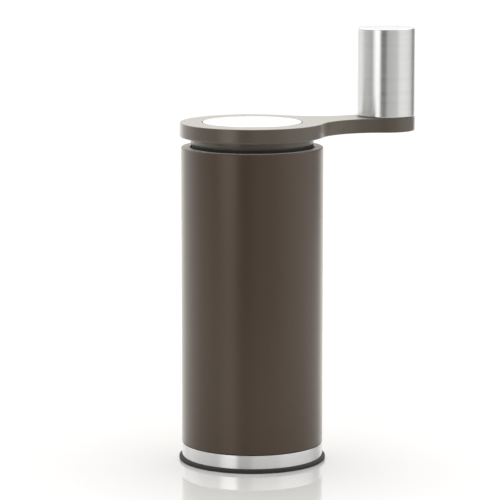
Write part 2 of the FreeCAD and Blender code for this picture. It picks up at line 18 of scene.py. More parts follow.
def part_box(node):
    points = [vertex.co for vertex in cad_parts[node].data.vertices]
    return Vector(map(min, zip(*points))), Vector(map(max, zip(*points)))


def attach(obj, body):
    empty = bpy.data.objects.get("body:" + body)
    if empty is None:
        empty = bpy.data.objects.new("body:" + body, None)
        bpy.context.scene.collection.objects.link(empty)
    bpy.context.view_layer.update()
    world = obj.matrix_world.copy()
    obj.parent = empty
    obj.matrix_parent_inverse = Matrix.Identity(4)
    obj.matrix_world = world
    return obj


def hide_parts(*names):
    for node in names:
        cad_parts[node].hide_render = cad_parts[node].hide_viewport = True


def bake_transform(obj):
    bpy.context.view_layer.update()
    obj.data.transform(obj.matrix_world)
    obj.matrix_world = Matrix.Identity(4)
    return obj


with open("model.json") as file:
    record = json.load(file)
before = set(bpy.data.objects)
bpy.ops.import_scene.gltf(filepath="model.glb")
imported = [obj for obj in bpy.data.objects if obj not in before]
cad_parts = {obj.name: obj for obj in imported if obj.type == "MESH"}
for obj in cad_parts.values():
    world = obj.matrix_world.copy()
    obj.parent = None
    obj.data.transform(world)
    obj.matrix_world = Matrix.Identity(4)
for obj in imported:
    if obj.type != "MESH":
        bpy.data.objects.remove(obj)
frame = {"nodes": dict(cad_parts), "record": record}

LOG = logging.getLogger("grinder")
MM = 0.001
TURN = 2 * math.pi
WELD = 2e-6  # metres; nearer vertices become one
SHARP = 34.0  # degrees; steeper edges stay sharp
CHAMFER = 0.3  # millimetres, on the edges of hexagons and of what is turned with them
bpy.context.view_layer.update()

Point = tuple[float, float, float]
Colour = tuple[float, float, float]
Corner = tuple[float, float, float]  # radius, height, rounding
Radius = Callable[[float], float]  # by angle, or by share of a repeat
Level = tuple[float, float, Radius]  # height, turn, radius


# ---------------------------------------------------------------- shader maths


def maths(operation: str, reflected: bool = False) -> Callable[["Value", Any], "Value"]:
    """An operator's method, which adds one Math node.

    Args:
        operation: The node's operation.
        reflected: Whether the other operand comes first.

    Returns:
        The method.
    """

    def method(self: "Value", other: Any) -> "Value":
        """The operation's result."""
        first, second = (other, self) if reflected else (self, other)
        return self.graph.node("ShaderNodeMath", {"operation": operation}, {0: first, 1: second})

    return method


class Value:
    """A shader socket that adds Math nodes when it is used in an expression."""

    def __init__(self, graph: "Graph", socket: bpy.types.NodeSocket) -> None:
        """Keeps the socket and the graph that it is in."""
        self.graph = graph
        self.socket = socket

    __add__, __radd__ = maths("ADD"), maths("ADD", reflected=True)
    __sub__, __rsub__ = maths("SUBTRACT"), maths("SUBTRACT", reflected=True)
    __mul__, __rmul__ = maths("MULTIPLY"), maths("MULTIPLY", reflected=True)
    __truediv__, __pow__ = maths("DIVIDE"), maths("POWER")


class Graph:
    """A node tree with one method that adds any node."""

    def __init__(self, tree: bpy.types.NodeTree) -> None:
        """Starts from an empty tree."""
        self.tree = tree
        tree.nodes.clear()

    def node(self, kind: str, settings: dict[str, Any], sockets: dict[Any, Any], output: Any = 0) -> Value:
        """Adds a node.

        Args:
            kind: The node's type name.
            settings: Its properties, set first; "stops" holds a colour ramp's (place, colour) pairs.
            sockets: Values or links of its inputs, by name or number.
            output: The output that the result stands for, by name or number.

        Returns:
            The chosen output.
        """
        node = self.tree.nodes.new(kind)
        for name, value in settings.items():
            if name == "stops":
                self._stops(node, value)
            else:
                setattr(node, name, value)
        for name, value in sockets.items():
            if isinstance(value, Value):
                self.tree.links.new(value.socket, node.inputs[name])
            else:
                node.inputs[name].default_value = value
        return Value(self, node.outputs[output]) if node.outputs else Value(self, None)

    @staticmethod
    def _stops(node: bpy.types.Node, stops: Sequence[tuple[float, Colour]]) -> None:
        """Sets a colour ramp's stops."""
        ramp = node.color_ramp.elements
        while len(ramp) < len(stops):
            ramp.new(0.5)
        for element, (place, colour) in zip(ramp, stops):
            element.position = place
            element.color = (*colour, 1.0)

    def place(self) -> Value:
        """The piece's own coordinates, in metres."""
        return self.node("ShaderNodeTexCoord", {}, {}, "Object")

    def axes(self, vector: Value) -> list[Value]:
        """A vector's X, Y and Z."""
        return [self.node("ShaderNodeSeparateXYZ", {}, {0: vector}, axis) for axis in "XYZ"]

    def vector(self, x: Any, y: Any, z: Any) -> Value:
        """A vector from three values."""
        return self.node("ShaderNodeCombineXYZ", {}, {0: x, 1: y, 2: z})

    def noise(self, vector: Value, scale: float, detail: float = 3.0, rough: float = 0.5) -> Value:
        """Noise from 0 to 1 about a half."""
        sockets = {"Vector": vector, "Scale": scale, "Detail": detail, "Roughness": rough}
        return self.node("ShaderNodeTexNoise", {}, sockets)

    def ramp(self, value: Value, low: float, high: float) -> Value:
        """The value mapped from a range to 0 to 1, clamped and smooth."""
        return self.node("ShaderNodeMapRange", {"interpolation_type": "SMOOTHSTEP"},
                         {0: value, 1: low, 2: high, 3: 0.0, 4: 1.0})

    def mix(self, share: Value, first: Any, second: Any) -> Value:
        """A colour between two colours."""
        first, second = ((*c, 1.0) if isinstance(c, tuple) else c for c in (first, second))
        return self.node("ShaderNodeMix", {"data_type": "RGBA"}, {0: share, 6: first, 7: second}, 2)

    def bump(self, height: Value, distance: float) -> Value:
        """A normal from a height that runs from 0 to 1, in metres of relief."""
        return self.node("ShaderNodeBump", {}, {"Strength": 1.0, "Distance": distance, "Height": height})


# ---------------------------------------------------------------- finishes


class Brush(Enum):
    """Which way a metal is brushed or turned."""

    ROUND = "round the axis"
    STRAIGHT = "straight up and down"


@dataclass(frozen=True)
class Finish:
    """A surface finish: its colour, its gloss and how they vary.

    A subclass grows the pattern in paint().
    """

    name: str
    colour: Colour
    roughness: float
    metallic: float = 0.0
    centre: float = 0.0  # millimetres from the frame's Z axis to the piece's own axis, along X

    def material(self) -> bpy.types.Material:
        """The material, made once for each name."""
        made = bpy.data.materials.get(self.name)
        if made is None:
            made = bpy.data.materials.new(self.name)
            made.use_nodes = True
            made.diffuse_color = (*self.colour, 1.0)
            graph = Graph(made.node_tree)
            sockets = {"Metallic": self.metallic, **self.paint(graph)}
            shader = graph.node("ShaderNodeBsdfPrincipled", {}, sockets)
            graph.node("ShaderNodeOutputMaterial", {}, {0: shader})
        return made

    def paint(self, graph: Graph) -> dict[str, Any]:
        """The sockets that this finish sets, by name."""
        raise NotImplementedError

    def shade(self, factor: float) -> Colour:
        """The colour made lighter or darker."""
        return tuple(min(1.0, part * factor) for part in self.colour)


@dataclass(frozen=True)
class SatinCoat(Finish):
    """A sprayed satin lacquer over metal, with a fine grain and faint handling marks."""

    grain: float = 4200.0
    relief: float = 0.000012
    gloss_tint: Colour = (1.0, 0.86, 0.70)
    sheen_tint: Colour = (1.0, 0.93, 0.83)

    def paint(self, graph: Graph) -> dict[str, Any]:
        """A fine spray grain, soft clouds of tone, and a little polish where hands rub."""
        vector = graph.place()
        x, y, z = graph.axes(vector)
        clouds = graph.noise(vector, scale=38.0, detail=2.0)
        grain = graph.noise(vector, scale=self.grain, detail=2.0, rough=0.6)
        peel = graph.noise(vector, scale=900.0, detail=1.0)
        scuffs = graph.ramp(graph.noise(graph.vector(x, y, z * 5.0), scale=160.0, detail=4.0), 0.58, 0.86)
        tone = graph.mix(clouds, self.shade(0.94), self.shade(1.07))
        for share in (grain * 0.16, scuffs * 0.10):
            tone = graph.mix(share, tone, self.shade(1.5))
        rough = self.roughness + (clouds - 0.5) * 0.06 + (grain - 0.5) * 0.07 - scuffs * 0.05
        relief = grain * 0.7 + peel * 0.6
        return {"Base Color": tone, "Roughness": rough, "Normal": graph.bump(relief, self.relief),
                "Specular IOR Level": 0.56, "Specular Tint": (*self.gloss_tint, 1.0), "Coat Weight": 0.2,
                "Coat Roughness": 0.18, "Sheen Weight": 0.9, "Sheen Roughness": 0.3,
                "Sheen Tint": (*self.sheen_tint, 1.0)}


@dataclass(frozen=True)
class BrushedMetal(Finish):
    """Metal with brush or lathe marks that run one way."""

    metallic: float = 1.0
    brush: Brush = Brush.ROUND
    anisotropy: float = 0.6
    rotation: float = 0.25
    relief: float = 0.000006
    pitch: float = 2600.0
    contrast: float = 0.10

    def paint(self, graph: Graph) -> dict[str, Any]:
        """Long fine streaks in tone, gloss and relief, with a few deeper scratches."""
        x, y, z = graph.axes(graph.place())
        x = x - self.centre * MM
        across = self._across(graph, x, y, z) * self.pitch
        fine = graph.noise(graph.vector(x * 45.0, y * 45.0, across), scale=1.0, rough=0.6)
        broad = graph.noise(graph.vector(x * 12.0, y * 12.0, across * 0.16), scale=1.0, detail=2.0)
        cloud = graph.noise(graph.vector(x, y, z), scale=70.0, detail=2.0)
        cut = graph.ramp(fine, 0.66, 0.78)
        streaks = fine * 0.6 + broad * 0.4
        tone = graph.mix(streaks, self.shade(1.0 - self.contrast), self.shade(1.0 + self.contrast))
        tone = graph.mix(cut * 0.25, tone, self.shade(0.72))
        rough = self.roughness + (streaks - 0.5) * 0.16 + (cloud - 0.5) * 0.05
        return {"Base Color": tone, "Roughness": rough, "Normal": graph.bump(streaks, self.relief),
                "Anisotropic": self.anisotropy, "Anisotropic Rotation": self.rotation}

    def _across(self, graph: Graph, x: Value, y: Value, z: Value) -> Value:
        """The coordinate that runs across the marks."""
        if self.brush is Brush.STRAIGHT:
            return x + y
        return (x * x + y * y) ** 0.5 + z


@dataclass(frozen=True)
class GroundMetal(Finish):
    """Metal with a fine all-over grain: ground, plated, sintered, cast or blasted."""

    metallic: float = 1.0
    grain: float = 3000.0
    relief: float = 0.00001
    mottle: float = 0.12

    def paint(self, graph: Graph) -> dict[str, Any]:
        """Grain, soft mottling, and a few darker specks."""
        vector = graph.place()
        grain = graph.noise(vector, scale=self.grain, rough=0.65)
        mottle = graph.noise(vector, scale=220.0)
        specks = graph.ramp(graph.noise(vector, scale=self.grain * 0.4, detail=1.0), 0.68, 0.76)
        tone = graph.mix(mottle, self.shade(1.0 - self.mottle), self.shade(1.0 + self.mottle))
        tone = graph.mix(specks * 0.35, tone, self.shade(0.6))
        rough = self.roughness + (mottle - 0.5) * 0.12 + (grain - 0.5) * 0.14
        return {"Base Color": tone, "Roughness": rough, "Normal": graph.bump(grain, self.relief)}


@dataclass(frozen=True)
class Moulded(Finish):
    """Moulded plastic or rubber with a spark-eroded grain."""

    grain: float = 1500.0
    relief: float = 0.00003
    dust: float = 0.05
    dust_colour: Colour = (0.35, 0.33, 0.30)

    def paint(self, graph: Graph) -> dict[str, Any]:
        """A pebbled grain, a little tone drift, and dust in the hollows of the grain."""
        vector = graph.place()
        grain = graph.node("ShaderNodeTexVoronoi", {"feature": "SMOOTH_F1"},
                           {"Vector": vector, "Scale": self.grain, "Smoothness": 0.6}, "Distance")
        drift = graph.noise(vector, scale=60.0, detail=2.0)
        tone = graph.mix(drift, self.shade(0.85), self.shade(1.2))
        tone = graph.mix(graph.ramp(grain, 0.5, 0.9) * self.dust, tone, self.dust_colour)
        rough = self.roughness + (drift - 0.5) * 0.08 + (grain - 0.5) * 0.08
        return {"Base Color": tone, "Roughness": rough, "Normal": graph.bump(grain, self.relief)}


TAUPE_COAT = SatinCoat("taupe_coat", (0.041, 0.025, 0.016), 0.32)
PLATE_COAT = SatinCoat("plate_coat", (0.073, 0.060, 0.045), 0.25, gloss_tint=(1.0, 0.93, 0.83))
KNOB_STEEL = BrushedMetal("knob_steel", (0.66, 0.66, 0.655), 0.24, centre=60.0)
BAND_STEEL = BrushedMetal("band_steel", (0.67, 0.67, 0.675), 0.17)
INLAY_STEEL = BrushedMetal("inlay_steel", (0.80, 0.80, 0.79), 0.22, anisotropy=0.3, contrast=0.05)
SHAFT_STEEL = BrushedMetal("shaft_steel", (0.50, 0.50, 0.50), 0.28)
SPINDLE_STEEL = BrushedMetal("spindle_steel", (0.50, 0.50, 0.50), 0.28, centre=60.0)
BURR_STEEL = GroundMetal("burr_steel", (0.36, 0.36, 0.37), 0.34)
PLATED_STEEL = GroundMetal("plated_steel", (0.56, 0.57, 0.58), 0.30, grain=5000.0)
SPRING_STEEL = GroundMetal("spring_steel", (0.42, 0.42, 0.43), 0.32, grain=5000.0)
BRONZE = GroundMetal("sintered_bronze", (0.50, 0.31, 0.13), 0.42, grain=2200.0)
BRASS = BrushedMetal("drawn_brass", (0.66, 0.47, 0.17), 0.28, brush=Brush.STRAIGHT)
CAST_ALLOY = GroundMetal("blasted_alloy", (0.50, 0.50, 0.51), 0.50, grain=1800.0, relief=0.00003)
DARK_ANODISE = GroundMetal("dark_anodised", (0.085, 0.080, 0.074), 0.42, metallic=0.8, grain=3600.0)
BLACK_PLASTIC = Moulded("black_plastic", (0.016, 0.016, 0.016), 0.45)
LINER_PLASTIC = Moulded("liner_plastic", (0.035, 0.034, 0.033), 0.50, grain=900.0)
FOOT_PLASTIC = Moulded("foot_plastic", (0.031, 0.030, 0.020), 0.42, grain=2600.0, relief=0.000015)
PAD_RUBBER = Moulded("pad_rubber", (0.020, 0.020, 0.020), 0.80, grain=700.0)
SEAL_RUBBER = Moulded("seal_rubber", (0.016, 0.016, 0.016), 0.55, grain=2500.0)


# ---------------------------------------------------------------- meshes


def turns(count: int) -> list[float]:
    """Angles evenly spaced over a full turn."""
    return [TURN * k / count for k in range(count)]


def arc(x: float, y: float, radius: float, height: float, angles: Iterable[float]) -> list[Point]:
    """Level points about an upright axis through (x, y)."""
    return [(x + radius * math.cos(a), y + radius * math.sin(a), height) for a in angles]


def quarter(size: float, steps: int) -> list[tuple[float, float]]:
    """The (inset, rise) points of a rounded edge, from the side to the flat."""
    angles = [math.pi / 2 * k / steps for k in range(steps + 1)]
    return [(size * (1 - math.cos(a)), size * (1 - math.sin(a))) for a in angles]


@dataclass(frozen=True)
class Span:
    """Where a round CAD node lies, in millimetres."""

    centre: float
    radius: float
    low: float
    high: float

    @classmethod
    def of(cls, node: str) -> "Span":
        """The span of a node's box."""
        least, most = (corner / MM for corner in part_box(node))
        return cls((least.x + most.x) / 2, (most.y - least.y) / 2, least.z, most.z)


class Shell:
    """A closed mesh in the making, from loops of points in millimetres."""

    def __init__(self) -> None:
        """Starts empty."""
        self.bm = bmesh.new()

    def loop(self, points: Iterable[Sequence[float]]) -> list[bmesh.types.BMVert]:
        """A closed loop of new vertices."""
        return [self.bm.verts.new(Vector(point) * MM) for point in points]

    def circle(self, radius: float, height: float, centre: float = 0.0, steps: int = 96) -> list:
        """A level circle of vertices; one vertex where the radius is nought."""
        return self.loop(arc(centre, 0.0, radius, height, turns(1 if radius < MM * MM else steps)))

    def section(self, radius: Radius, height: float, steps: int = 96) -> list:
        """A level loop whose radius is a function of the angle."""
        return self.loop([(radius(a) * math.cos(a), radius(a) * math.sin(a), height) for a in turns(steps)])

    def bridge(self, first: list, second: list) -> None:
        """Joins two loops, or a loop and a pole, with a band of faces."""
        count = max(len(first), len(second))
        if count == 1:
            return
        for k in range(count):
            after = (k + 1) % count
            corners = [first[k % len(first)], first[after % len(first)],
                       second[after % len(second)], second[k % len(second)]]
            self.bm.faces.new(list(dict.fromkeys(corners)))

    def chain(self, loops: Sequence[list], closed: bool = False) -> None:
        """Bridges each loop to the next, and the last to the first when closed."""
        for first, second in zip(loops, loops[1:]):
            self.bridge(first, second)
        if closed:
            self.bridge(loops[-1], loops[0])

    def tube(self, rows: Sequence[tuple[float, float]], centre: float = 0.0, steps: int = 128) -> list[list]:
        """Chains level circles of (radius, height), and gives them back."""
        loops = [self.circle(radius, height, centre, steps) for radius, height in rows]
        self.chain(loops)
        return loops

    def fill(self, *loops: list) -> None:
        """Fills the flat face between an outer loop and the holes in it."""
        edges = []
        for loop in loops:
            for k, vert in enumerate(loop):
                pair = (vert, loop[(k + 1) % len(loop)])
                edges.append(self.bm.edges.get(pair) or self.bm.edges.new(pair))
        bmesh.ops.triangle_fill(self.bm, use_beauty=True, use_dissolve=False, edges=edges)

    def sector(self, levels: Sequence[Level], repeats: int, steps: int) -> "Shell":
        """One repeat of a shape that repeats round the axis, open at its two sides.

        Args:
            levels: (height, turn, radius by share of the repeat) of each line across the repeat, in order
                round the closed section.
            repeats: How many repeats make the whole.
            steps: Spans across the repeat.

        Returns:
            The shell.
        """
        lines = []
        for height, turn, radius in levels:
            line = []
            for k in range(steps + 1):
                angle = turn + TURN / repeats * k / steps
                out = radius(k / steps)
                line.append((out * math.cos(angle), out * math.sin(angle), height))
            lines.append(self.loop(line))
        for first, second in zip(lines, lines[1:] + lines[:1]):
            for k in range(steps):
                self.bm.faces.new([first[k], first[k + 1], second[k + 1], second[k]])
        return self

    def turn(self, corners: Sequence[Corner], centre: float = 0.0, steps: int = 96) -> "Shell":
        """Turns a closed outline of (radius, height, rounding) corners about a vertical axis."""
        loops = [self.circle(radius, height, centre, steps) for radius, height in rounded(corners)]
        self.chain(loops, closed=True)
        return self

    def mesh(self, name: str, sharp: float = SHARP) -> bpy.types.Mesh:
        """The finished mesh, faces out, smooth but for its sharp edges."""
        return finished(name, self.bm, sharp)


def finished(name: str, bm: bmesh.types.BMesh, sharp: float) -> bpy.types.Mesh:
    """A mesh with its faces out, smooth but for the edges steeper than an angle in degrees."""
    bmesh.ops.recalc_face_normals(bm, faces=bm.faces)
    mesh = bpy.data.meshes.new(name)
    bm.to_mesh(mesh)
    bm.free()
    mesh.shade_smooth()
    mesh.set_sharp_from_angle(angle=math.radians(sharp))
    return mesh


def merged(name: str, meshes: Sequence[bpy.types.Mesh], sharp: float = SHARP) -> bpy.types.Mesh:
    """One mesh from several, its seams welded."""
    bm = bmesh.new()
    for mesh in meshes:
        bm.from_mesh(mesh)
    bmesh.ops.remove_doubles(bm, verts=bm.verts, dist=WELD)
    return finished(name, bm, sharp)


def rounded(corners: Sequence[Corner], steps: int = 5) -> list[tuple[float, float]]:
    """Rounds an outline's corners, with a point on each side of every arc that holds the flat flat.

    Args:
        corners: (radius, height, rounding) points of a closed outline.
        steps: Spans in each arc.

    Returns:
        The (radius, height) points of the rounded outline.
    """
    out: list[tuple[float, float]] = []
    for k, (radius, height, rounding) in enumerate(corners):
        here = Vector((radius, height))
        before = Vector(corners[k - 1][:2]) - here
        after = Vector(corners[(k + 1) % len(corners)][:2]) - here
        if rounding <= 0.0:
            out.append((radius, height))
            continue
        half = before.angle(after) / 2
        reach = min(rounding / math.tan(half), 0.42 * before.length, 0.42 * after.length)
        size = reach * math.tan(half)
        middle = here + (before.normalized() + after.normalized()).normalized() * (size / math.sin(half))
        start = here + before.normalized() * reach
        end = here + after.normalized() * reach
        hold = min(0.3 * reach, 0.05 * before.length, 0.05 * after.length)
        out.append(tuple(start + before.normalized() * hold))
        sweep = (start - middle).angle_signed(end - middle)
        for step in range(steps + 1):
            arm = (start - middle).copy()
            arm.rotate(Matrix.Rotation(-sweep * step / steps, 2))
            out.append(tuple(middle + arm))
        out.append(tuple(end + after.normalized() * hold))
    return out


def even(radius: float) -> Radius:
    """The same radius all the way round."""
    return lambda _: radius


def six_sided(across_flats: float) -> Radius:
    """A hexagon's radius, corners first."""
    sixth = TURN / 6
    return lambda angle: across_flats / 2 / math.cos((angle % sixth) - sixth / 2)


def two_flats(radius: float, half: float) -> Radius:
    """A round bar's radius where two flats face along X."""
    return lambda angle: min(radius, half / max(abs(math.cos(angle)), 1e-6))


def threaded(root: float, crest: float, pitch: float, height: float) -> Radius:
    """A right-hand thread's radius at one height."""
    return lambda angle: root + (crest - root) * abs(2 * ((height / pitch - angle / TURN) % 1.0) - 1.0)


def saw(tip: float, root: float, count: int, lean: float = 0.35) -> Radius:
    """Leaning teeth, by share of the repeat that holds them."""

    def radius(share: float) -> float:
        """Straight from tip to root, and straight back."""
        along = (share * count) % 1.0
        drop = along / lean if along < lean else (1.0 - along) / (1.0 - lean)
        return tip + (root - tip) * drop

    return radius


def keyhole(inset: float, height: float, big: float, small: float, reach: float,
            waist: float) -> list[Point]:
    """The crank plate's outline: two round ends joined by tangent hollow sides.

    Args:
        inset: How far the outline is drawn in.
        height: Its height.
        big: Radius of the end over the body.
        small: Radius of the end under the knob.
        reach: Distance between the two ends' axes.
        waist: Radius of the hollow sides.

    Returns:
        Points all the way round.
    """
    far, near = big + waist, small + waist
    x = (reach ** 2 + far ** 2 - near ** 2) / (2 * reach)
    y = math.sqrt(far ** 2 - x ** 2)
    on_big = math.atan2(y, x)
    on_small = math.atan2(y, x - reach)
    points: list[Point] = []
    for cx, cy, radius, start, end, steps in (
            (0.0, 0.0, big - inset, on_big, TURN - on_big, 110),
            (x, -y, waist + inset, math.pi - on_big, math.pi - on_small, 26),
            (reach, 0.0, small - inset, -on_small, on_small, 44),
            (x, y, waist + inset, on_small - math.pi, on_big - math.pi, 26)):
        points += arc(cx, cy, radius, height, [start + (end - start) * k / steps for k in range(steps)])
    return points


# ---------------------------------------------------------------- geometry nodes


class NodeMaker:
    """Builds a Geometry Nodes tree and bakes what it makes into plain meshes."""

    name = "tree"
    inputs: dict[str, str] = {}

    def __init__(self) -> None:
        """Builds the tree once."""
        self.tree = bpy.data.node_groups.new(self.name, "GeometryNodeTree")
        self.tree.interface.new_socket("Shape", in_out="INPUT", socket_type="NodeSocketGeometry")
        for label, kind in self.inputs.items():
            self.tree.interface.new_socket(label, in_out="INPUT", socket_type=kind)
        self.tree.interface.new_socket("Shape", in_out="OUTPUT", socket_type="NodeSocketGeometry")
        self.graph = Graph(self.tree)
        given = self.tree.nodes.new("NodeGroupInput")
        self.given = {socket.name: Value(self.graph, socket) for socket in given.outputs if socket.name}
        real = self.graph.node("GeometryNodeRealizeInstances", {}, {0: self.grow()})
        dressed = self.graph.node("GeometryNodeSetMaterial", {}, {"Geometry": real,
                                                                  "Material": self.given["Finish"]})
        self.graph.node("NodeGroupOutput", {}, {0: dressed})

    def grow(self) -> Value:
        """The geometry, before instances are made real and dressed."""
        raise NotImplementedError

    def bake(self, source: bpy.types.Mesh, finish: Finish, **values: Any) -> bpy.types.Mesh:
        """Runs the tree on a mesh.

        Args:
            source: The mesh that goes in.
            finish: What the result is dressed in.
            values: The tree's inputs by name, with underscores for spaces.

        Returns:
            A plain mesh.
        """
        carrier = linked(source.name + "_carrier", source)
        modifier = carrier.modifiers.new("grow", "NODES")
        modifier.node_group = self.tree
        wanted = {label.replace("_", " "): value for label, value in values.items()}
        wanted["Finish"] = finish.material()
        for item in self.tree.interface.items_tree:
            if item.item_type == "SOCKET" and item.in_out == "INPUT" and item.name in wanted:
                modifier[item.identifier] = wanted[item.name]
        graph = bpy.context.evaluated_depsgraph_get()
        baked = bpy.data.meshes.new_from_object(carrier.evaluated_get(graph))
        carrier.modifiers.clear()
        bpy.data.objects.remove(carrier)
        return baked


class RoundCopies(NodeMaker):
    """Copies of one shape, evenly spaced round a vertical axis."""

    name = "round_copies"
    inputs = {"Count": "NodeSocketInt", "First Turn": "NodeSocketFloat", "Finish": "NodeSocketMaterial"}

    def grow(self) -> Value:
        """One copy on each point, turned by its share of a full turn."""
        graph = self.graph
        points = graph.node("GeometryNodePoints", {}, {"Count": self.given["Count"]})
        index = graph.node("GeometryNodeInputIndex", {}, {})
        turn = index * TURN / self.given["Count"] + self.given["First Turn"]
        return graph.node("GeometryNodeInstanceOnPoints", {}, {
            "Points": points, "Instance": self.given["Shape"],
            "Rotation": graph.vector(0.0, 0.0, turn)})


class Coil(NodeMaker):
    """A round wire wound into a straight spring with closed ends."""

    name = "coil"
    inputs = {"Turns": "NodeSocketFloat", "Radius": "NodeSocketFloat", "Height": "NodeSocketFloat",
              "Wire": "NodeSocketFloat", "Base": "NodeSocketFloat", "Finish": "NodeSocketMaterial"}

    def grow(self) -> Value:
        """A spiral, given its wire and lifted to its base."""
        graph = self.graph
        line = graph.node("GeometryNodeCurveSpiral", {}, {
            "Resolution": 48, "Rotations": self.given["Turns"], "Start Radius": self.given["Radius"],
            "End Radius": self.given["Radius"], "Height": self.given["Height"]})
        section = graph.node("GeometryNodeCurvePrimitiveCircle", {}, {"Resolution": 14,
                                                                      "Radius": self.given["Wire"]})
        wire = graph.node("GeometryNodeCurveToMesh", {}, {"Curve": line, "Profile Curve": section,
                                                          "Fill Caps": True})
        lift = graph.vector(0.0, 0.0, self.given["Base"])
        return graph.node("GeometryNodeTransform", {}, {"Geometry": wire, "Translation": lift})


# ---------------------------------------------------------------- placing pieces


def linked(name: str, data: bpy.types.ID) -> bpy.types.Object:
    """A new object in the scene."""
    made = bpy.data.objects.new(name, data)
    bpy.context.scene.collection.objects.link(made)
    return made


class Bench:
    """Puts finished pieces on the frame and keeps the tools that several classes share."""

    def __init__(self) -> None:
        """Reads which body and slot each CAD node has."""
        record = frame["record"]
        self.bodies = {n: body for body, nodes in record["behaviour"]["bodies"].items() for n in nodes}
        self.slots = {part["node"]: part["material_slot"] for part in record["subparts"]}
        self.copies = RoundCopies()
        self.coil = Coil()

    def put(self, name: str, mesh: bpy.types.Mesh, finish: Finish, node: str) -> None:
        """Makes a piece that stands for a CAD node and rides on its body.

        Args:
            name: The piece's name.
            mesh: Its mesh, in metres, in place.
            finish: What it is dressed in.
            node: The CAD node that it stands for, which gives its body.
        """
        piece = self._stand_in(name, mesh, finish, node)
        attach(piece, self.bodies[node])
        LOG.info("%s: %d faces, rides on %s", name, len(mesh.polygons), self.bodies[node])

    def turned(self, name: str, corners: Sequence[Corner], finish: Finish, node: str, steps: int,
               centre: float = 0.0, sharp: float = SHARP) -> None:
        """Puts a piece that Shell.turn makes from its outline, as put() does."""
        self.put(name, Shell().turn(corners, centre, steps).mesh(name, sharp), finish, node)

    def put_between(self, name: str, mesh: bpy.types.Mesh, finish: Finish, node: str,
                    ends: Mapping[str, float]) -> None:
        """Makes a piece that lies between two bodies, fixed in place on neither of them.

        Args:
            name: The piece's name.
            mesh: Its mesh, in metres, in place.
            finish: What it is dressed in.
            node: The CAD node that it stands for.
            ends: The two bodies, each with the height in mm where the piece meets it.
        """
        piece = self._stand_in(name, mesh, finish, node)
        (first, start), (second, end) = ends.items()
        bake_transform(piece)
        LOG.info("%s: %d faces, stretches from %s to %s", name, len(mesh.polygons), first, second)

    def _stand_in(self, name: str, mesh: bpy.types.Mesh, finish: Finish, node: str) -> bpy.types.Object:
        """A dressed piece in place of a CAD node, on no body yet."""
        piece = linked(name, mesh)
        mesh.materials.clear()
        mesh.materials.append(finish.material())
        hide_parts(node)
        return piece

    def dress(self, node: str, finish: Finish) -> None:
        """Gives a CAD node that stays its finish."""
        part = frame["nodes"][node]
        part.data.materials.clear()
        part.data.materials.append(finish.material())
        LOG.info("%s: dressed in %s", node, finish.name)

    def round_copies(self, mesh: bpy.types.Mesh, finish: Finish, count: int,
                     first: float = 0.0) -> bpy.types.Mesh:
        """Copies of a mesh round the frame's Z axis, the first one turned by an angle."""
        return self.copies.bake(mesh, finish, Count=count, First_Turn=first)

    def screws(self, name: str, screw: "Screw", place: tuple[float, float], node: str, count: int,
               first: float) -> None:
        """Puts screws round the Z axis; their place is a distance from it and a height, as in Screw.mesh."""
        self.put(name, self.round_copies(screw.mesh(*place), PLATED_STEEL, count, first), PLATED_STEEL, node)


@dataclass(frozen=True)
class Screw:
    """A countersunk screw with a hexagon socket, head down."""

    length: float
    shank: float = 1.25
    head: float = 2.2
    head_height: float = 1.0
    key: float = 1.3  # across the socket's flats
    key_depth: float = 0.7
    rim: float = 0.12
    tip: float = 0.4  # length of the tapered end
    tip_share: float = 0.7  # the end's radius over the shank's
    steps: int = 36

    def mesh(self, x: float, height: float) -> bpy.types.Mesh:
        """The screw with its head's face at a height, at a distance along +X."""
        shell = Shell()
        corner = self.key / 2 / math.cos(math.pi / 6)

        def ring(radius: float, rise: float) -> list:
            """A circle at a rise from the head's face."""
            return shell.circle(radius, height + rise, x, self.steps)

        face = ring(self.head - self.rim, 0.0)
        mouth, floor = (shell.circle(corner, height + rise, x, 6) for rise in (0.0, self.key_depth))
        tip = ring(self.shank * self.tip_share, self.length)
        shell.chain([face, ring(self.head, self.rim * 0.6), ring(self.head, self.rim * 1.4),
                     ring(self.shank, self.head_height), ring(self.shank, self.length - self.tip), tip])
        shell.fill(tip)
        shell.fill(face, mouth)
        shell.bridge(mouth, floor)
        shell.fill(floor)
        return shell.mesh("screw")


# ---------------------------------------------------------------- the grinder


@dataclass
class BodyTube:
    """The coated tube and the hopper's liner in it."""

    wall: float = 1.2
    lip_height: float = 1.5
    lip_width: float = 3.6
    rim_round: float = 0.55
    groove: float = 0.55
    liner_wall: float = 2.35
    ledge: float = 1.85
    window: float = 20.0
    seat_drop: float = 2.0  # from the spider's middle to the ledge under its rim
    funnel_share: float = 0.7  # how far up to the ledge the funnel reaches

    def build(self, bench: Bench) -> None:
        """Makes both pieces."""
        tube = Span.of("outer_tube")
        bore = tube.radius - self.wall
        mouth = tube.radius - self.lip_width
        snap = Span.of("retaining_ring")
        outline = [
            (bore, tube.low, 0.15), (tube.radius, tube.low, 0.25), (tube.radius, tube.high, self.rim_round),
            (mouth, tube.high, 0.3), (mouth, tube.high - self.lip_height, 0.2),
            (bore, tube.high - self.lip_height, 0.0), (bore, snap.high, 0.0),
            (bore + self.groove, snap.high, 0.0), (bore + self.groove, snap.low, 0.0), (bore, snap.low, 0.0),
        ]
        bench.turned("body_tube", outline, TAUPE_COAT, "outer_tube", steps=192)

        liner = Span.of("hopper_liner")
        spider = Span.of("upper_spider")
        inner = liner.radius - self.liner_wall
        seat = (spider.low + spider.high) / 2 - self.seat_drop
        funnel = liner.low + (seat - liner.low) * self.funnel_share
        outline = [
            (self.window, liner.low, 0.2), (liner.radius, liner.low, 0.0), (liner.radius, liner.high, 0.0),
            (inner, liner.high, 0.2), (inner, seat, 0.1), (inner - self.ledge, seat, 0.2),
            (inner - self.ledge, funnel, 0.8),
        ]
        bench.turned("bean_hopper", outline, LINER_PLASTIC, "hopper_liner", steps=128)


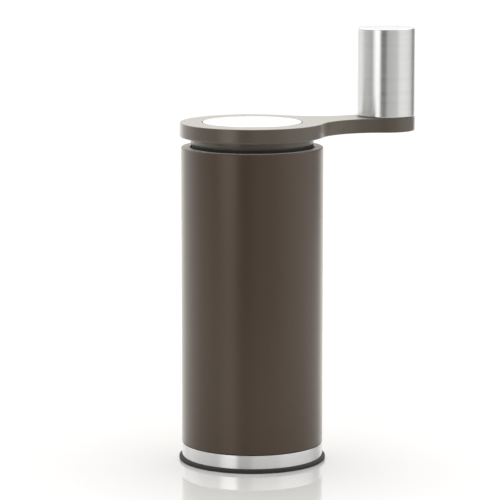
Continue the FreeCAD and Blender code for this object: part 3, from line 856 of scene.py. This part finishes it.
@dataclass
class CrankPlate:
    """The keyhole plate with its collar and the bright disc let into it."""

    edge_round: float = 0.42
    edge_steps: int = 5
    waist: float = 25.5
    collar_drop: float = 3.0
    end_radius: float = 12.15
    overhang: float = 29.5
    collar: float = 25.0
    collar_hold: float = 0.4
    collar_soft: float = 0.08
    pocket_clear: float = 0.34
    pocket_rim: tuple[tuple[float, float], ...] = ((0.3, 0.0), (0.08, 0.0), (0.02, 0.03), (0.0, 0.1))
    inlay_edge: float = 0.14
    socket: float = 7.0
    socket_depth: float = 5.5
    screw_bore: float = 1.3
    screw_mouth: float = 2.28
    screw_sink: float = 1.0
    spindle_bore: float = 3.0

    def build(self, bench: Bench) -> None:
        """Makes the plate and its inlay."""
        plate = Span.of("crank_arm")
        inlay = Span.of("crank_inlay")
        knob = Span.of("knob_shell")
        spindle = Span.of("knob_spindle")
        shell = Shell()
        under = plate.low + self.collar_drop

        def outline(inset: float, height: float) -> list:
            """One loop of the plate's side."""
            return shell.loop(keyhole(inset, height, self.overhang, self.end_radius, knob.centre, self.waist))

        edge = quarter(self.edge_round, self.edge_steps)
        hold = self.edge_round * 1.5
        side = [outline(hold, under)]
        side += [outline(inset, under + rise) for inset, rise in reversed(edge)]
        side += [outline(0.0, under + hold), outline(0.0, plate.high - hold)]
        side += [outline(inset, plate.high - rise) for inset, rise in edge]
        side += [outline(hold, plate.high)]
        shell.chain(side)

        radius = inlay.radius + self.pocket_clear
        pocket = shell.tube([*((radius + out, plate.high - down) for out, down in self.pocket_rim),
                             (radius, inlay.low), (0.0, inlay.low)])
        collar = shell.tube([
            (self.collar + self.collar_hold, under), (self.collar, under), (self.collar, under - CHAMFER),
            (self.collar, plate.low + CHAMFER),
            (self.collar - self.collar_soft, plate.low + self.collar_soft),
            (self.collar - CHAMFER, plate.low), (self.socket, plate.low),
            (self.socket, plate.low + self.socket_depth), (0.0, plate.low + self.socket_depth)])
        hole = shell.tube([
            (self.screw_mouth, under), (self.screw_bore, under + self.screw_sink),
            (self.screw_bore, spindle.low), (self.spindle_bore, spindle.low),
            (self.spindle_bore, plate.high)], knob.centre, 48)
        shell.fill(side[-1], pocket[0], hole[-1])
        shell.fill(side[0], collar[0], hole[0])
        bench.put("crank_plate", shell.mesh("crank_plate"), PLATE_COAT, "crank_arm")

        disc = [(0.0, inlay.low, 0.0), (inlay.radius, inlay.low, 0.0),
                (inlay.radius, inlay.high, self.inlay_edge), (0.0, inlay.high, 0.0)]
        bench.turned("plate_inlay", disc, INLAY_STEEL, "crank_inlay", steps=160)


@dataclass
class LidPlug:
    """The moulded plug under the crank, its screws, and the hexagon socket."""

    wall: float = 2.0
    rib: float = 1.2
    rib_rise: float = 1.2  # from the plug's lower edge
    rib_round: float = 0.25
    rib_overlap: float = 0.5
    ribs: int = 6
    screws: int = 3
    screw_length: float = 6.0
    screw_circle: float = 17.0
    head_proud: float = 0.06
    hex_across: float = 6.1
    hex_chamfer: float = 0.5

    def build(self, bench: Bench) -> None:
        """Makes the plug with its ribs, the screws and the socket."""
        plug = Span.of("lid_plug")
        socket = Span.of("hub_socket")
        deck = plug.high - self.wall
        hub = socket.radius + self.wall
        outline = [
            (socket.radius, plug.high, 0.0), (socket.radius, plug.low, 0.2), (hub, plug.low, 0.3),
            (hub, deck, 0.4), (plug.radius - self.wall, deck, 0.4), (plug.radius - self.wall, plug.low, 0.3),
            (plug.radius, plug.low, 0.6), (plug.radius, plug.high, 0.2),
        ]
        body = Shell().turn(outline, steps=128).mesh("plug_body")
        rib = box_mesh((hub - self.rib_overlap, -self.rib / 2, plug.low + self.rib_rise),
                       (plug.radius - self.wall + self.rib_overlap, self.rib / 2, deck + self.rib_overlap),
                       self.rib_round)
        ribs = bench.round_copies(rib, BLACK_PLASTIC, self.ribs)
        bench.put("hopper_plug", merged("hopper_plug", [body, ribs]), BLACK_PLASTIC, "lid_plug")

        bench.screws("plug_screws", Screw(self.screw_length), (self.screw_circle, deck - self.head_proud),
                     "lid_screws", self.screws, TURN / 6)
        self._socket(bench, socket)
        bench.dress("hub_magnet", PLATED_STEEL)

    def _socket(self, bench: Bench, span: Span) -> None:
        """The turned socket with its chamfered hexagon."""
        magnet = Span.of("hub_magnet")
        mouth, hexagon = six_sided(self.hex_across + 2 * self.hex_chamfer), six_sided(self.hex_across)
        side, flat = even(span.radius), even(span.radius - CHAMFER)
        rows = [(flat, span.high), (side, span.high - CHAMFER), (side, span.low + CHAMFER), (flat, span.low),
                (mouth, span.low), (hexagon, span.low + self.hex_chamfer), (hexagon, magnet.low)]
        shell = Shell()
        shell.chain([shell.circle(0.0, span.high), *(shell.section(*row) for row in rows),
                     shell.circle(0.0, magnet.low)])
        bench.put("drive_socket", shell.mesh("drive_socket"), SHAFT_STEEL, "hub_socket")


@dataclass
class Knob:
    """The drawn steel knob, its core, and the spindle that it turns on."""

    wall: float = 0.8
    top_round: float = 0.7
    lower_round: float = 0.3
    screw_length: float = 11.8

    def build(self, bench: Bench) -> None:
        """Makes the shell and dresses what is in it."""
        knob = Span.of("knob_shell")
        inner = knob.radius - self.wall
        roof = knob.high - self.wall
        outline = [
            (0.0, knob.high, 0.0), (knob.radius, knob.high, self.top_round),
            (knob.radius, knob.low, self.lower_round), (inner, knob.low, 0.2), (inner, roof, 0.5),
            (0.0, roof, 0.0),
        ]
        bench.turned("knob_sleeve", outline, KNOB_STEEL, "knob_shell", 144, knob.centre)
        for node, finish in (("knob_core", BLACK_PLASTIC), ("knob_bushes", BRONZE),
                             ("knob_spindle", SPINDLE_STEEL), ("spindle_clip", SPRING_STEEL),
                             ("spindle_washer", BLACK_PLASTIC)):
            bench.dress(node, finish)
        screw = Screw(self.screw_length).mesh(knob.centre, Span.of("spindle_screw").low)
        bench.put("knob_screw", screw, PLATED_STEEL, "spindle_screw")


@dataclass
class Base:
    """The cup with its steel band, foot, pad, seal and screws."""

    cup_wall: float = 2.0
    floor: float = 2.5
    foot_round: float = 0.45
    foot_inset: float = 0.02
    play: float = 0.05  # round the seal and the pad
    pad_grooves: int = 3
    groove_first: float = 0.85  # the outer groove's radius over the pad's
    groove_pitch: float = 0.25  # from one groove to the next, over the pad's radius
    groove_mouth: float = 0.6  # half its width
    groove_floor: float = 0.4  # half its width at the floor
    groove_depth: float = 0.35
    seal_steps: int = 20
    screws: int = 3
    screw_length: float = 3.0
    screw_circle: float = 15.0

    def build(self, bench: Bench) -> None:
        """Makes every piece of the base."""
        cup = Span.of("grounds_cup")
        seal = Span.of("cup_seal")
        inner = cup.radius - self.cup_wall
        groove = seal.radius - (seal.high - seal.low)
        middle = (seal.low + seal.high) / 2
        section = (seal.high - seal.low) / 2
        half = section + self.play
        outline = [
            (0.0, cup.low, 0.0), (cup.radius, cup.low, 0.2), (cup.radius, middle - half, 0.1),
            (groove, middle - half, 0.1), (groove, middle + half, 0.1), (cup.radius, middle + half, 0.1),
            (cup.radius, cup.high, 0.5), (inner, cup.high, 0.4), (inner, cup.low + self.floor, 2.0),
            (0.0, cup.low + self.floor, 0.0),
        ]
        bench.turned("catch_cup", outline, DARK_ANODISE, "grounds_cup", steps=144)

        band = Span.of("base_band")
        outline = [(cup.radius, band.low, 0.0), (band.radius, band.low, 0.12),
                   (band.radius, band.high, 0.2), (cup.radius, band.high, 0.1)]
        bench.turned("steel_band", outline, BAND_STEEL, "base_band", steps=192)

        foot = Span.of("base_foot")
        pad = Span.of("foot_pad")
        rim = foot.radius - self.foot_inset
        recess = pad.radius + self.play
        outline = [(0.0, pad.high, 0.0), (recess, pad.high, 0.1), (recess, foot.low, 0.1),
                   (rim, foot.low, self.foot_round), (rim, foot.high, self.foot_round), (0.0, foot.high, 0.0)]
        bench.turned("foot_ring", outline, FOOT_PLASTIC, "base_foot", steps=192)

        outline = [(0.0, pad.high, 0.0), (pad.radius, pad.high, 0.0), (pad.radius, pad.low, 0.25)]
        for k in range(self.pad_grooves):
            mid = pad.radius * (self.groove_first - self.groove_pitch * k)
            top = pad.low + self.groove_depth
            outline += [(mid + self.groove_mouth, pad.low, 0.1), (mid + self.groove_floor, top, 0.1),
                        (mid - self.groove_floor, top, 0.1), (mid - self.groove_mouth, pad.low, 0.1)]
        outline += [(0.0, pad.low, 0.0)]
        bench.turned("rubber_pad", outline, PAD_RUBBER, "foot_pad", steps=128)

        ring = arc(seal.radius - section, middle, section, 0.0, turns(self.seal_steps))
        bench.turned("o_ring", ring, SEAL_RUBBER, "cup_seal", steps=128, sharp=80.0)
        bench.screws("foot_fixings", Screw(self.screw_length),
                     (self.screw_circle, Span.of("foot_screws").low), "foot_screws", self.screws, TURN / 4)


def box_mesh(low: Point, high: Point, rounding: float) -> bpy.types.Mesh:
    """A box with rounded edges, from two corners in millimetres."""
    bm = bmesh.new()
    size = Vector(high) - Vector(low)
    middle = (Vector(high) + Vector(low)) / 2
    place = Matrix.Translation(middle * MM) @ Matrix.Diagonal((*(size * MM), 1.0))
    bmesh.ops.create_cube(bm, size=1.0, matrix=place)
    bmesh.ops.bevel(bm, geom=bm.edges[:], offset=rounding * MM, segments=3, affect="EDGES", profile=0.5)
    mesh = bpy.data.meshes.new("box")
    bm.to_mesh(mesh)
    bm.free()
    return mesh


@dataclass
class BurrSet:
    """The cone burr, the ring burr round it, and the spring over the cone."""

    ribs: int = 6
    fine_per_rib: int = 6
    points_per_tooth: int = 4
    fine_twist: float = 0.12
    feed_twist: float = 0.48
    ring_twist: float = 0.33
    slope: float = 0.45
    fine_depth: float = 0.9
    fine_height: float = 8.0
    gap: float = 0.7
    lift: float = 0.8
    mouth_step: float = 0.8
    feed_tip: float = 10.5
    feed_depth: float = 1.8
    groove_depth: float = 4.4
    pocket: float = 6.6
    pocket_depth: float = 6.2
    bore: float = 4.05
    rows: int = 8
    wire: float = 0.45
    coil_radius: float = 5.4
    coil_turns: float = 5.2
    sharp: float = 20.0

    def build(self, bench: Bench) -> None:
        """Cuts both burrs and winds the spring."""
        bench.put("cone_burr", self._cone(bench), BURR_STEEL, "inner_burr")
        bench.put("ring_burr", self._ring(bench), BURR_STEEL, "outer_burr")
        spring = Span.of("burr_spring")
        coil = bench.coil.bake(bpy.data.meshes.new("coil_seed"), SPRING_STEEL, Turns=self.coil_turns,
                               Radius=self.coil_radius * MM,
                               Height=(spring.high - spring.low - 2 * self.wire) * MM, Wire=self.wire * MM,
                               Base=(spring.low + self.wire) * MM)
        coil.shade_smooth()
        bench.put_between("coil_spring", coil, SPRING_STEEL, "burr_spring",
                          {"drive_shaft": spring.high, "inner_burr": spring.low})

    def _band(self, low: Sequence[float], high: Sequence[float], count: int) -> list[Level]:
        """Rows of one toothed band.

        Args:
            low: Height, turn, tip and root at its lower end.
            high: The same at its upper end.
            count: Teeth in one repeat.

        Returns:
            Levels for Shell.sector.
        """
        out = []
        for row in range(self.rows + 1):
            height, turn, tip, root = (a + (b - a) * row / self.rows for a, b in zip(low, high))
            out.append((height, turn, saw(tip, root, count)))
        return out

    def _whole(self, bench: Bench, name: str, levels: Sequence[Level]) -> bpy.types.Mesh:
        """The burr made of its repeats."""
        steps = self.fine_per_rib * self.points_per_tooth
        repeat = Shell().sector(levels, self.ribs, steps).mesh(name)
        return merged(name, [bench.round_copies(repeat, BURR_STEEL, self.ribs)], self.sharp)

    def _cone(self, bench: Bench) -> bpy.types.Mesh:
        """Fine teeth below, feed ribs above, and the pocket of the spring."""
        span = Span.of("inner_burr")
        step_z = span.low + self.fine_height
        top = span.radius - self.slope * self.fine_height
        end = -self.fine_twist - self.feed_twist
        step = (step_z, -self.fine_twist, top, top - self.fine_depth)
        levels = self._band((span.low, 0.0, span.radius, span.radius - self.fine_depth), step,
                            self.fine_per_rib)
        levels += self._band(step, (span.high, end, self.feed_tip, self.feed_tip - self.feed_depth), 1)
        floor = span.high - self.pocket_depth
        levels += [(span.high, end, even(self.pocket)), (floor, end, even(self.pocket)),
                   (floor, end, even(self.bore)), (span.low, end, even(self.bore))]
        return self._whole(bench, "cone_burr", levels)

    def _ring(self, bench: Bench) -> bpy.types.Mesh:
        """The ring burr: grooves between fine teeth below, wide feed grooves above."""
        span = Span.of("outer_burr")
        cone = Span.of("inner_burr")
        base = cone.radius + self.gap + self.slope * self.lift
        step_z = cone.low + self.fine_height + self.mouth_step
        top = base - self.slope * (step_z - span.low)
        end = self.fine_twist + self.ring_twist
        step = (step_z, self.fine_twist, top + self.fine_depth, top)
        levels = self._band((span.low, 0.0, base + self.fine_depth, base), step, self.fine_per_rib)
        levels += self._band(step, (span.high, end, top + self.groove_depth, top), 1)
        levels += [(span.high, end, even(span.radius)), (span.low, end, even(span.radius))]
        return self._whole(bench, "ring_burr", levels)


@dataclass
class Bearings:
    """The brackets that hold the shaft and the ring burr, their bushes, and the rings below."""

    bush: float = 6.05
    bore: float = 4.05
    hub: float = 8.5
    hub_over: float = 2.0
    spokes: int = 3
    spoke_width: float = 4.0
    spoke_round: float = 0.6
    rim_width: float = 1.9
    seat: float = 23.5
    window: float = 20.0
    web_height: float = 7.2
    overlap: float = 1.0
    clamp_circle: float = 25.625
    clamp_bore: float = 21.2
    clamp_edge: float = 0.25
    snap_width: float = 2.8
    snap_opening: float = 8.0
    snap_edge: float = 0.18
    screw_shank: float = 1.0
    screw_head: float = 1.95
    screw_length: float = 6.0
    screw_sink: float = 1.0
    screw_play: float = 0.05
    head_sunk: float = 0.08
    hole_steps: int = 32

    def build(self, bench: Bench) -> None:
        """Makes each bracket, bush and ring."""
        spider = Span.of("upper_spider")
        low, high = spider.low + self.hub_over, spider.high - self.hub_over
        rim = [(spider.radius - self.rim_width, low, 0.4), (spider.radius, low, 0.3),
               (spider.radius, high, 0.3), (spider.radius - self.rim_width, high, 0.4)]
        shapes = [Shell().turn(rim, steps=128).mesh("rim"), self._hub(spider.low, spider.high),
                  self._spokes(bench, spider.radius - self.rim_width / 2, low, high)]
        bench.put("shaft_bracket", merged("shaft_bracket", shapes), CAST_ALLOY, "upper_spider")

        carrier = Span.of("burr_carrier")
        bush = Span.of("lower_bush")
        ledge = carrier.high - self.web_height
        wall = [(self.seat, carrier.low, 0.2), (carrier.radius, carrier.low, 0.3),
                (carrier.radius, carrier.high, 0.3), (self.window, carrier.high, 0.6),
                (self.window, ledge, 0.3), (self.seat, ledge, 0.0)]
        shapes = [Shell().turn(wall, steps=128).mesh("wall"), self._hub(bush.low, bush.high),
                  self._spokes(bench, self.window + self.overlap, bush.low + self.hub_over / 2, bush.high)]
        bench.put("burr_holder", merged("burr_holder", shapes), CAST_ALLOY, "burr_carrier")

        for name, node in (("upper_bearing", "upper_bush"), ("lower_bearing", "lower_bush")):
            span = Span.of(node)
            tube = [(self.bore, span.low, 0.35), (span.radius, span.low, 0.2), (span.radius, span.high, 0.2),
                    (self.bore, span.high, 0.35)]
            bench.turned(name, tube, BRONZE, node, steps=64)
        self._clamp(bench)
        snap = open_ring("snap_ring", Span.of("retaining_ring"), self.snap_width, self.snap_opening,
                         self.snap_edge)
        bench.put("snap_ring", snap, SPRING_STEEL, "retaining_ring")

    def _hub(self, low: float, high: float) -> bpy.types.Mesh:
        """The boss round a bush."""
        outline = [(self.bush, low, 0.2), (self.hub, low, 0.5), (self.hub, high, 0.5), (self.bush, high, 0.2)]
        return Shell().turn(outline, steps=64).mesh("hub")

    def _spokes(self, bench: Bench, reach: float, low: float, high: float) -> bpy.types.Mesh:
        """Spokes from the hub to a ring, the first one along +Y."""
        half = self.spoke_width / 2
        bar = box_mesh((self.hub - self.overlap, -half, low), (reach, half, high), self.spoke_round)
        return bench.round_copies(bar, CAST_ALLOY, self.spokes, TURN / 4)

    def _clamp(self, bench: Bench) -> None:
        """The clamp ring with its countersinks, and the screws in them."""
        ring = Span.of("burr_clamp_ring")
        shell = Shell()
        outer, inner = (
            shell.tube([(radius + inset, ring.low), (radius, ring.low + self.clamp_edge),
                        (radius, ring.high - self.clamp_edge), (radius + inset, ring.high)])
            for radius, inset in ((ring.radius, -self.clamp_edge), (self.clamp_bore, self.clamp_edge)))
        mouth, bore = self.screw_head + self.screw_play, self.screw_shank + self.screw_play
        holes = []
        for k in range(self.spokes):
            angle = TURN * (k / self.spokes + 1 / 12)
            x, y = self.clamp_circle * math.cos(angle), self.clamp_circle * math.sin(angle)
            rows = ((mouth, ring.low), (bore, ring.low + self.screw_sink), (bore, ring.high))
            holes.append([shell.loop(arc(x, y, radius, height, turns(self.hole_steps)))
                          for radius, height in rows])
            shell.chain(holes[-1])
        for end in (0, -1):
            shell.fill(outer[end], inner[end], *(hole[end] for hole in holes))
        bench.put("clamp_ring", shell.mesh("clamp_ring"), CAST_ALLOY, "burr_clamp_ring")
        screw = Screw(self.screw_length - self.head_sunk, self.screw_shank, self.screw_head)
        bench.screws("ring_fixings", screw, (self.clamp_circle, ring.low + self.head_sunk),
                     "clamp_screws", self.spokes, TURN / 12)


def open_ring(name: str, span: Span, width: float, opening: float, edge: float) -> bpy.types.Mesh:
    """A flat ring with an opening towards +Y and softened edges.

    Args:
        name: The mesh's name.
        span: Where the ring lies.
        width: Its width in plan.
        opening: Width of its opening.
        edge: Size of its chamfers.

    Returns:
        The mesh.
    """
    inner, outer = span.radius - width, span.radius
    section = [(inner + edge, span.low), (outer - edge, span.low), (outer, span.low + edge),
               (outer, span.high - edge), (outer - edge, span.high), (inner + edge, span.high),
               (inner, span.high - edge), (inner, span.low + edge)]
    shell = Shell()
    steps = 96
    loops = []
    for k in range(steps + 1):
        points = []
        for radius, height in section:
            clear = math.asin(opening / 2 / radius)
            angle = TURN / 4 + clear + (TURN - 2 * clear) * k / steps
            points.append((radius * math.cos(angle), radius * math.sin(angle), height))
        loops.append(shell.loop(points))
    shell.chain(loops)
    shell.fill(loops[0])
    shell.fill(loops[-1])
    return shell.mesh(name)


@dataclass
class Drive:
    """The shaft with its clip, washer and click disc."""

    journal: float = 4.0
    flat_half: float = 2.9
    thread: float = 2.5
    thread_root: float = 2.15
    pitch: float = 0.8
    rows_per_pitch: int = 6
    hex_across: float = 6.0
    hex_height: float = 11.0
    groove: float = 3.5
    tip: float = 0.5
    run_out: float = 0.05  # short of a whole pitch at the thread's end
    clip_edge: float = 0.12
    sharp: float = 30.0

    def build(self, bench: Bench) -> None:
        """Turns the shaft and fits its clip."""
        shaft = Span.of("drive_shaft")
        clip = Span.of("shaft_circlip")
        washer = Span.of("thrust_washer")
        cone = Span.of("inner_burr")
        flats = cone.low + self.pitch - self.run_out
        head = shaft.high - self.hex_height
        journal, groove, hexagon = even(self.journal), even(self.groove), six_sided(self.hex_across)
        flat = two_flats(self.journal, self.flat_half)
        rows: list[tuple[Radius, float]] = [(even(self.thread_root - self.tip), shaft.low)]
        rises = int((flats - shaft.low - self.tip) / self.pitch * self.rows_per_pitch)
        for k in range(rises + 1):
            height = shaft.low + self.tip + self.pitch * k / self.rows_per_pitch
            rows.append((threaded(self.thread_root, self.thread, self.pitch, height), height))
        rows += [(even(self.thread_root), flats), (flat, flats), (flat, washer.high), (journal, washer.high),
                 (journal, clip.low), (groove, clip.low), (groove, clip.high), (journal, clip.high),
                 (journal, head - CHAMFER), (even(self.journal - CHAMFER), head), (hexagon, head),
                 (hexagon, shaft.high - CHAMFER), (six_sided(self.hex_across - 2 * CHAMFER), shaft.high)]
        shell = Shell()
        loops = [shell.section(radius, height) for radius, height in rows]
        shell.chain([shell.circle(0.0, shaft.low), *loops, shell.circle(0.0, shaft.high)])
        bench.put("main_shaft", shell.mesh("main_shaft", self.sharp), SHAFT_STEEL, "drive_shaft")
        mesh = open_ring("shaft_clip", clip, clip.radius - self.groove, self.journal, self.clip_edge)
        bench.put("shaft_clip", mesh, SPRING_STEEL, "shaft_circlip")
        bench.dress("thrust_washer", PLATED_STEEL)
        bench.dress("click_disc", PLATED_STEEL)


@dataclass
class Adjuster:
    """The lobed dial, its brass nut and the click balls."""

    lobes: int = 10
    radius: float = 15.0
    scallop: float = 2.2
    edge: float = 0.8
    edge_steps: int = 4
    bore: float = 2.8
    boss: float = 7.4
    web: float = 12.2
    recess: float = 1.3
    steps: int = 24
    nut_across: float = 11.0
    nut_bore: float = 2.55

    def build(self, bench: Bench) -> None:
        """Makes the dial and the nut."""
        bench.put("grind_dial", self._dial(bench), BLACK_PLASTIC, "adjuster_dial")
        nut = Span.of("adjuster_nut")
        bore, side, flat = (even(self.nut_bore), six_sided(self.nut_across),
                            six_sided(self.nut_across - 2 * CHAMFER))
        rows = [(bore, nut.low), (flat, nut.low), (side, nut.low + CHAMFER),
                (side, nut.high - CHAMFER), (flat, nut.high), (bore, nut.high)]
        shell = Shell()
        shell.chain([shell.section(*row) for row in rows], closed=True)
        bench.put("brass_nut", shell.mesh("brass_nut"), BRASS, "adjuster_nut")
        bench.dress("detent_balls", PLATED_STEEL)

    def _side(self, inset: float) -> Radius:
        """The lobed outline by share of one lobe, drawn in by an inset."""
        hollow = self.radius + self.scallop / 2

        def radius(share: float) -> float:
            """The rim, or the scallop where it cuts in."""
            angle = abs((share - 0.5) * TURN / self.lobes)
            across = hollow * math.sin(angle)
            if across >= self.scallop:
                return self.radius - inset
            near = hollow * math.cos(angle) - math.sqrt(self.scallop ** 2 - across ** 2)
            return min(self.radius, near) - inset

        return radius

    def _dial(self, bench: Bench) -> bpy.types.Mesh:
        """The dial, from one lobe."""
        span = Span.of("adjuster_dial")
        start = -TURN / self.lobes / 2
        edge = quarter(self.edge, self.edge_steps)
        bore, boss, web = even(self.bore), even(self.boss), even(self.web)
        rows = [(span.low, bore), (span.low, boss), (span.low + self.recess, boss),
                (span.low + self.recess, web), (span.low, web)]
        rows += [(span.low + rise, self._side(inset)) for inset, rise in reversed(edge)]
        rows += [(span.high - rise, self._side(inset)) for inset, rise in edge]
        rows += [(span.high, boss), (span.high, bore)]
        levels = [(height, start, radius) for height, radius in rows]
        lobe = Shell().sector(levels, self.lobes, self.steps).mesh("lobe")
        return merged("grind_dial", [bench.round_copies(lobe, BLACK_PLASTIC, self.lobes)])


# ---------------------------------------------------------------- the studio


@dataclass(frozen=True)
class Camera:
    """The view: a long lens from the front left, a little above."""

    azimuth: float = -22.66
    distance: float = 1150.0
    height: float = 265.87
    pitch: float = -8.844
    yaw: float = 0.0446
    lens: float = 204.54

    def build(self) -> None:
        """Places the camera and makes it the scene's."""
        data = bpy.data.cameras.new("camera")
        data.lens = self.lens
        data.sensor_width = 36.0
        data.clip_start = 0.05
        data.clip_end = 20.0
        camera = linked("camera", data)
        side = math.radians(self.azimuth)
        camera.location = Vector((math.sin(side) * self.distance, -math.cos(side) * self.distance,
                                  self.height)) * MM
        camera.rotation_euler = Euler((math.radians(90.0 + self.pitch), 0.0,
                                       side + math.radians(self.yaw)))
        bpy.context.scene.camera = camera


@dataclass(frozen=True)
class Surround:
    """The studio round the table: soft panels side by side, a pale ceiling over them.

    Each panel is (degrees to the right of the viewer, brightness); brightness runs evenly between them.
    """

    facing: float
    panels: tuple[tuple[float, float], ...] = (
        (-180.0, 1.00), (-154.0, 1.45), (-138.0, 1.00), (-118.0, 1.15), (-92.0, 0.70), (-58.0, 0.52),
        (-50.0, 1.25), (-43.0, 1.70), (-29.0, 1.75), (-21.0, 0.20), (-5.0, 0.20), (4.0, 0.64), (42.0, 0.78),
        (54.0, 1.12), (88.0, 1.04), (108.0, 0.84), (127.0, 0.30), (139.0, 0.45), (154.0, 1.35),
        (180.0, 1.05),
    )
    ceiling: float = 1.40  # brightness overhead
    ceiling_lean: float = 0.95  # how much brighter it is towards the back, and darker over the viewer
    ceiling_from: float = 0.30
    ceiling_to: float = 0.62

    def build(self) -> None:
        """Makes the world."""
        world = bpy.data.worlds.new("studio")
        world.use_nodes = True
        bpy.context.scene.world = world
        graph = Graph(world.node_tree)
        way = graph.node("ShaderNodeTexCoord", {}, {}, "Generated")
        x, y, z = graph.axes(way)
        side = math.radians(self.facing)
        right = x * math.cos(side) + y * math.sin(side)
        near = x * math.sin(side) - y * math.cos(side)
        turn = graph.node("ShaderNodeMath", {"operation": "ARCTAN2"}, {0: right, 1: near})
        stops = [(angle / 360.0 + 0.5, (bright / 2,) * 3) for angle, bright in self.panels]
        ring = graph.node("ShaderNodeValToRGB", {"stops": stops}, {0: turn / TURN + 0.5}) * 2.0
        roof = graph.ramp(z, self.ceiling_from, self.ceiling_to)
        bright = ring * (1.0 - roof) + roof * (self.ceiling - near * self.ceiling_lean)
        light = graph.node("ShaderNodeBackground", {}, {"Color": (1.0, 1.0, 1.0, 1.0), "Strength": bright})
        graph.node("ShaderNodeOutputWorld", {}, {0: light})


@dataclass(frozen=True)
class Table:
    """The glossy pale table, with a painted shadow round the grinder and painted shade towards the viewer."""

    facing: float
    radius: float = 700.0
    pale: Colour = (0.97, 0.97, 0.96)
    # painted shadow: the darker table colour close round the grinder
    under: Colour = (0.82, 0.81, 0.79)
    # painted shade: the darker table colour towards the viewer
    front: Colour = (0.45, 0.44, 0.425)
    painted_shadow_reach: tuple[float, float] = (45.0, 260.0)
    painted_shade_reach: tuple[float, float] = (105.0, 330.0)
    roughness: float = 0.05
    drop: float = 0.02  # the pad stands this far above it

    def build(self) -> None:
        """Makes the table's top."""
        shell = Shell()
        shell.fill(shell.circle(self.radius, -self.drop, 0.0, 128))
        mesh = shell.mesh("table_top")
        floor = linked("table_top", mesh)
        # the table's material holds the painted shadow round the grinder and the painted shade towards the
        # viewer
        material = bpy.data.materials.new("table_with_painted_shade")
        material.use_nodes = True
        graph = Graph(material.node_tree)
        x, y, _ = graph.axes(graph.place())
        side = math.radians(self.facing)
        near = x * math.sin(side) - y * math.cos(side)
        away = (x * x + y * y) ** 0.5
        # painted shadow fades out with distance from the grinder; painted shade comes in towards the viewer
        out_of_painted_shadow, painted_shade_share = (graph.ramp(way, *(reach * MM for reach in reaches))
                              for way, reaches in ((away, self.painted_shadow_reach), (near, self.painted_shade_reach)))
        tone = graph.mix(painted_shade_share, graph.mix(out_of_painted_shadow, self.under, self.pale), self.front)
        shader = graph.node("ShaderNodeBsdfPrincipled", {}, {
            "Base Color": tone, "Roughness": self.roughness, "Specular IOR Level": 0.5})
        graph.node("ShaderNodeOutputMaterial", {}, {0: shader})
        mesh.materials.append(material)


def main() -> None:
    """Builds the studio and the grinder, piece by piece."""
    logging.basicConfig(level=logging.INFO, format="%(message)s")
    bpy.context.scene.view_settings.view_transform = "Standard"
    camera = Camera()
    camera.build()
    Surround(camera.azimuth).build()
    Table(camera.azimuth).build()
    bench = Bench()
    for assembly in (BodyTube(), CrankPlate(), LidPlug(), Knob(), Base(), BurrSet(), Bearings(), Drive(),
                     Adjuster()):
        assembly.build(bench)


if __name__ == "__main__":
    main()
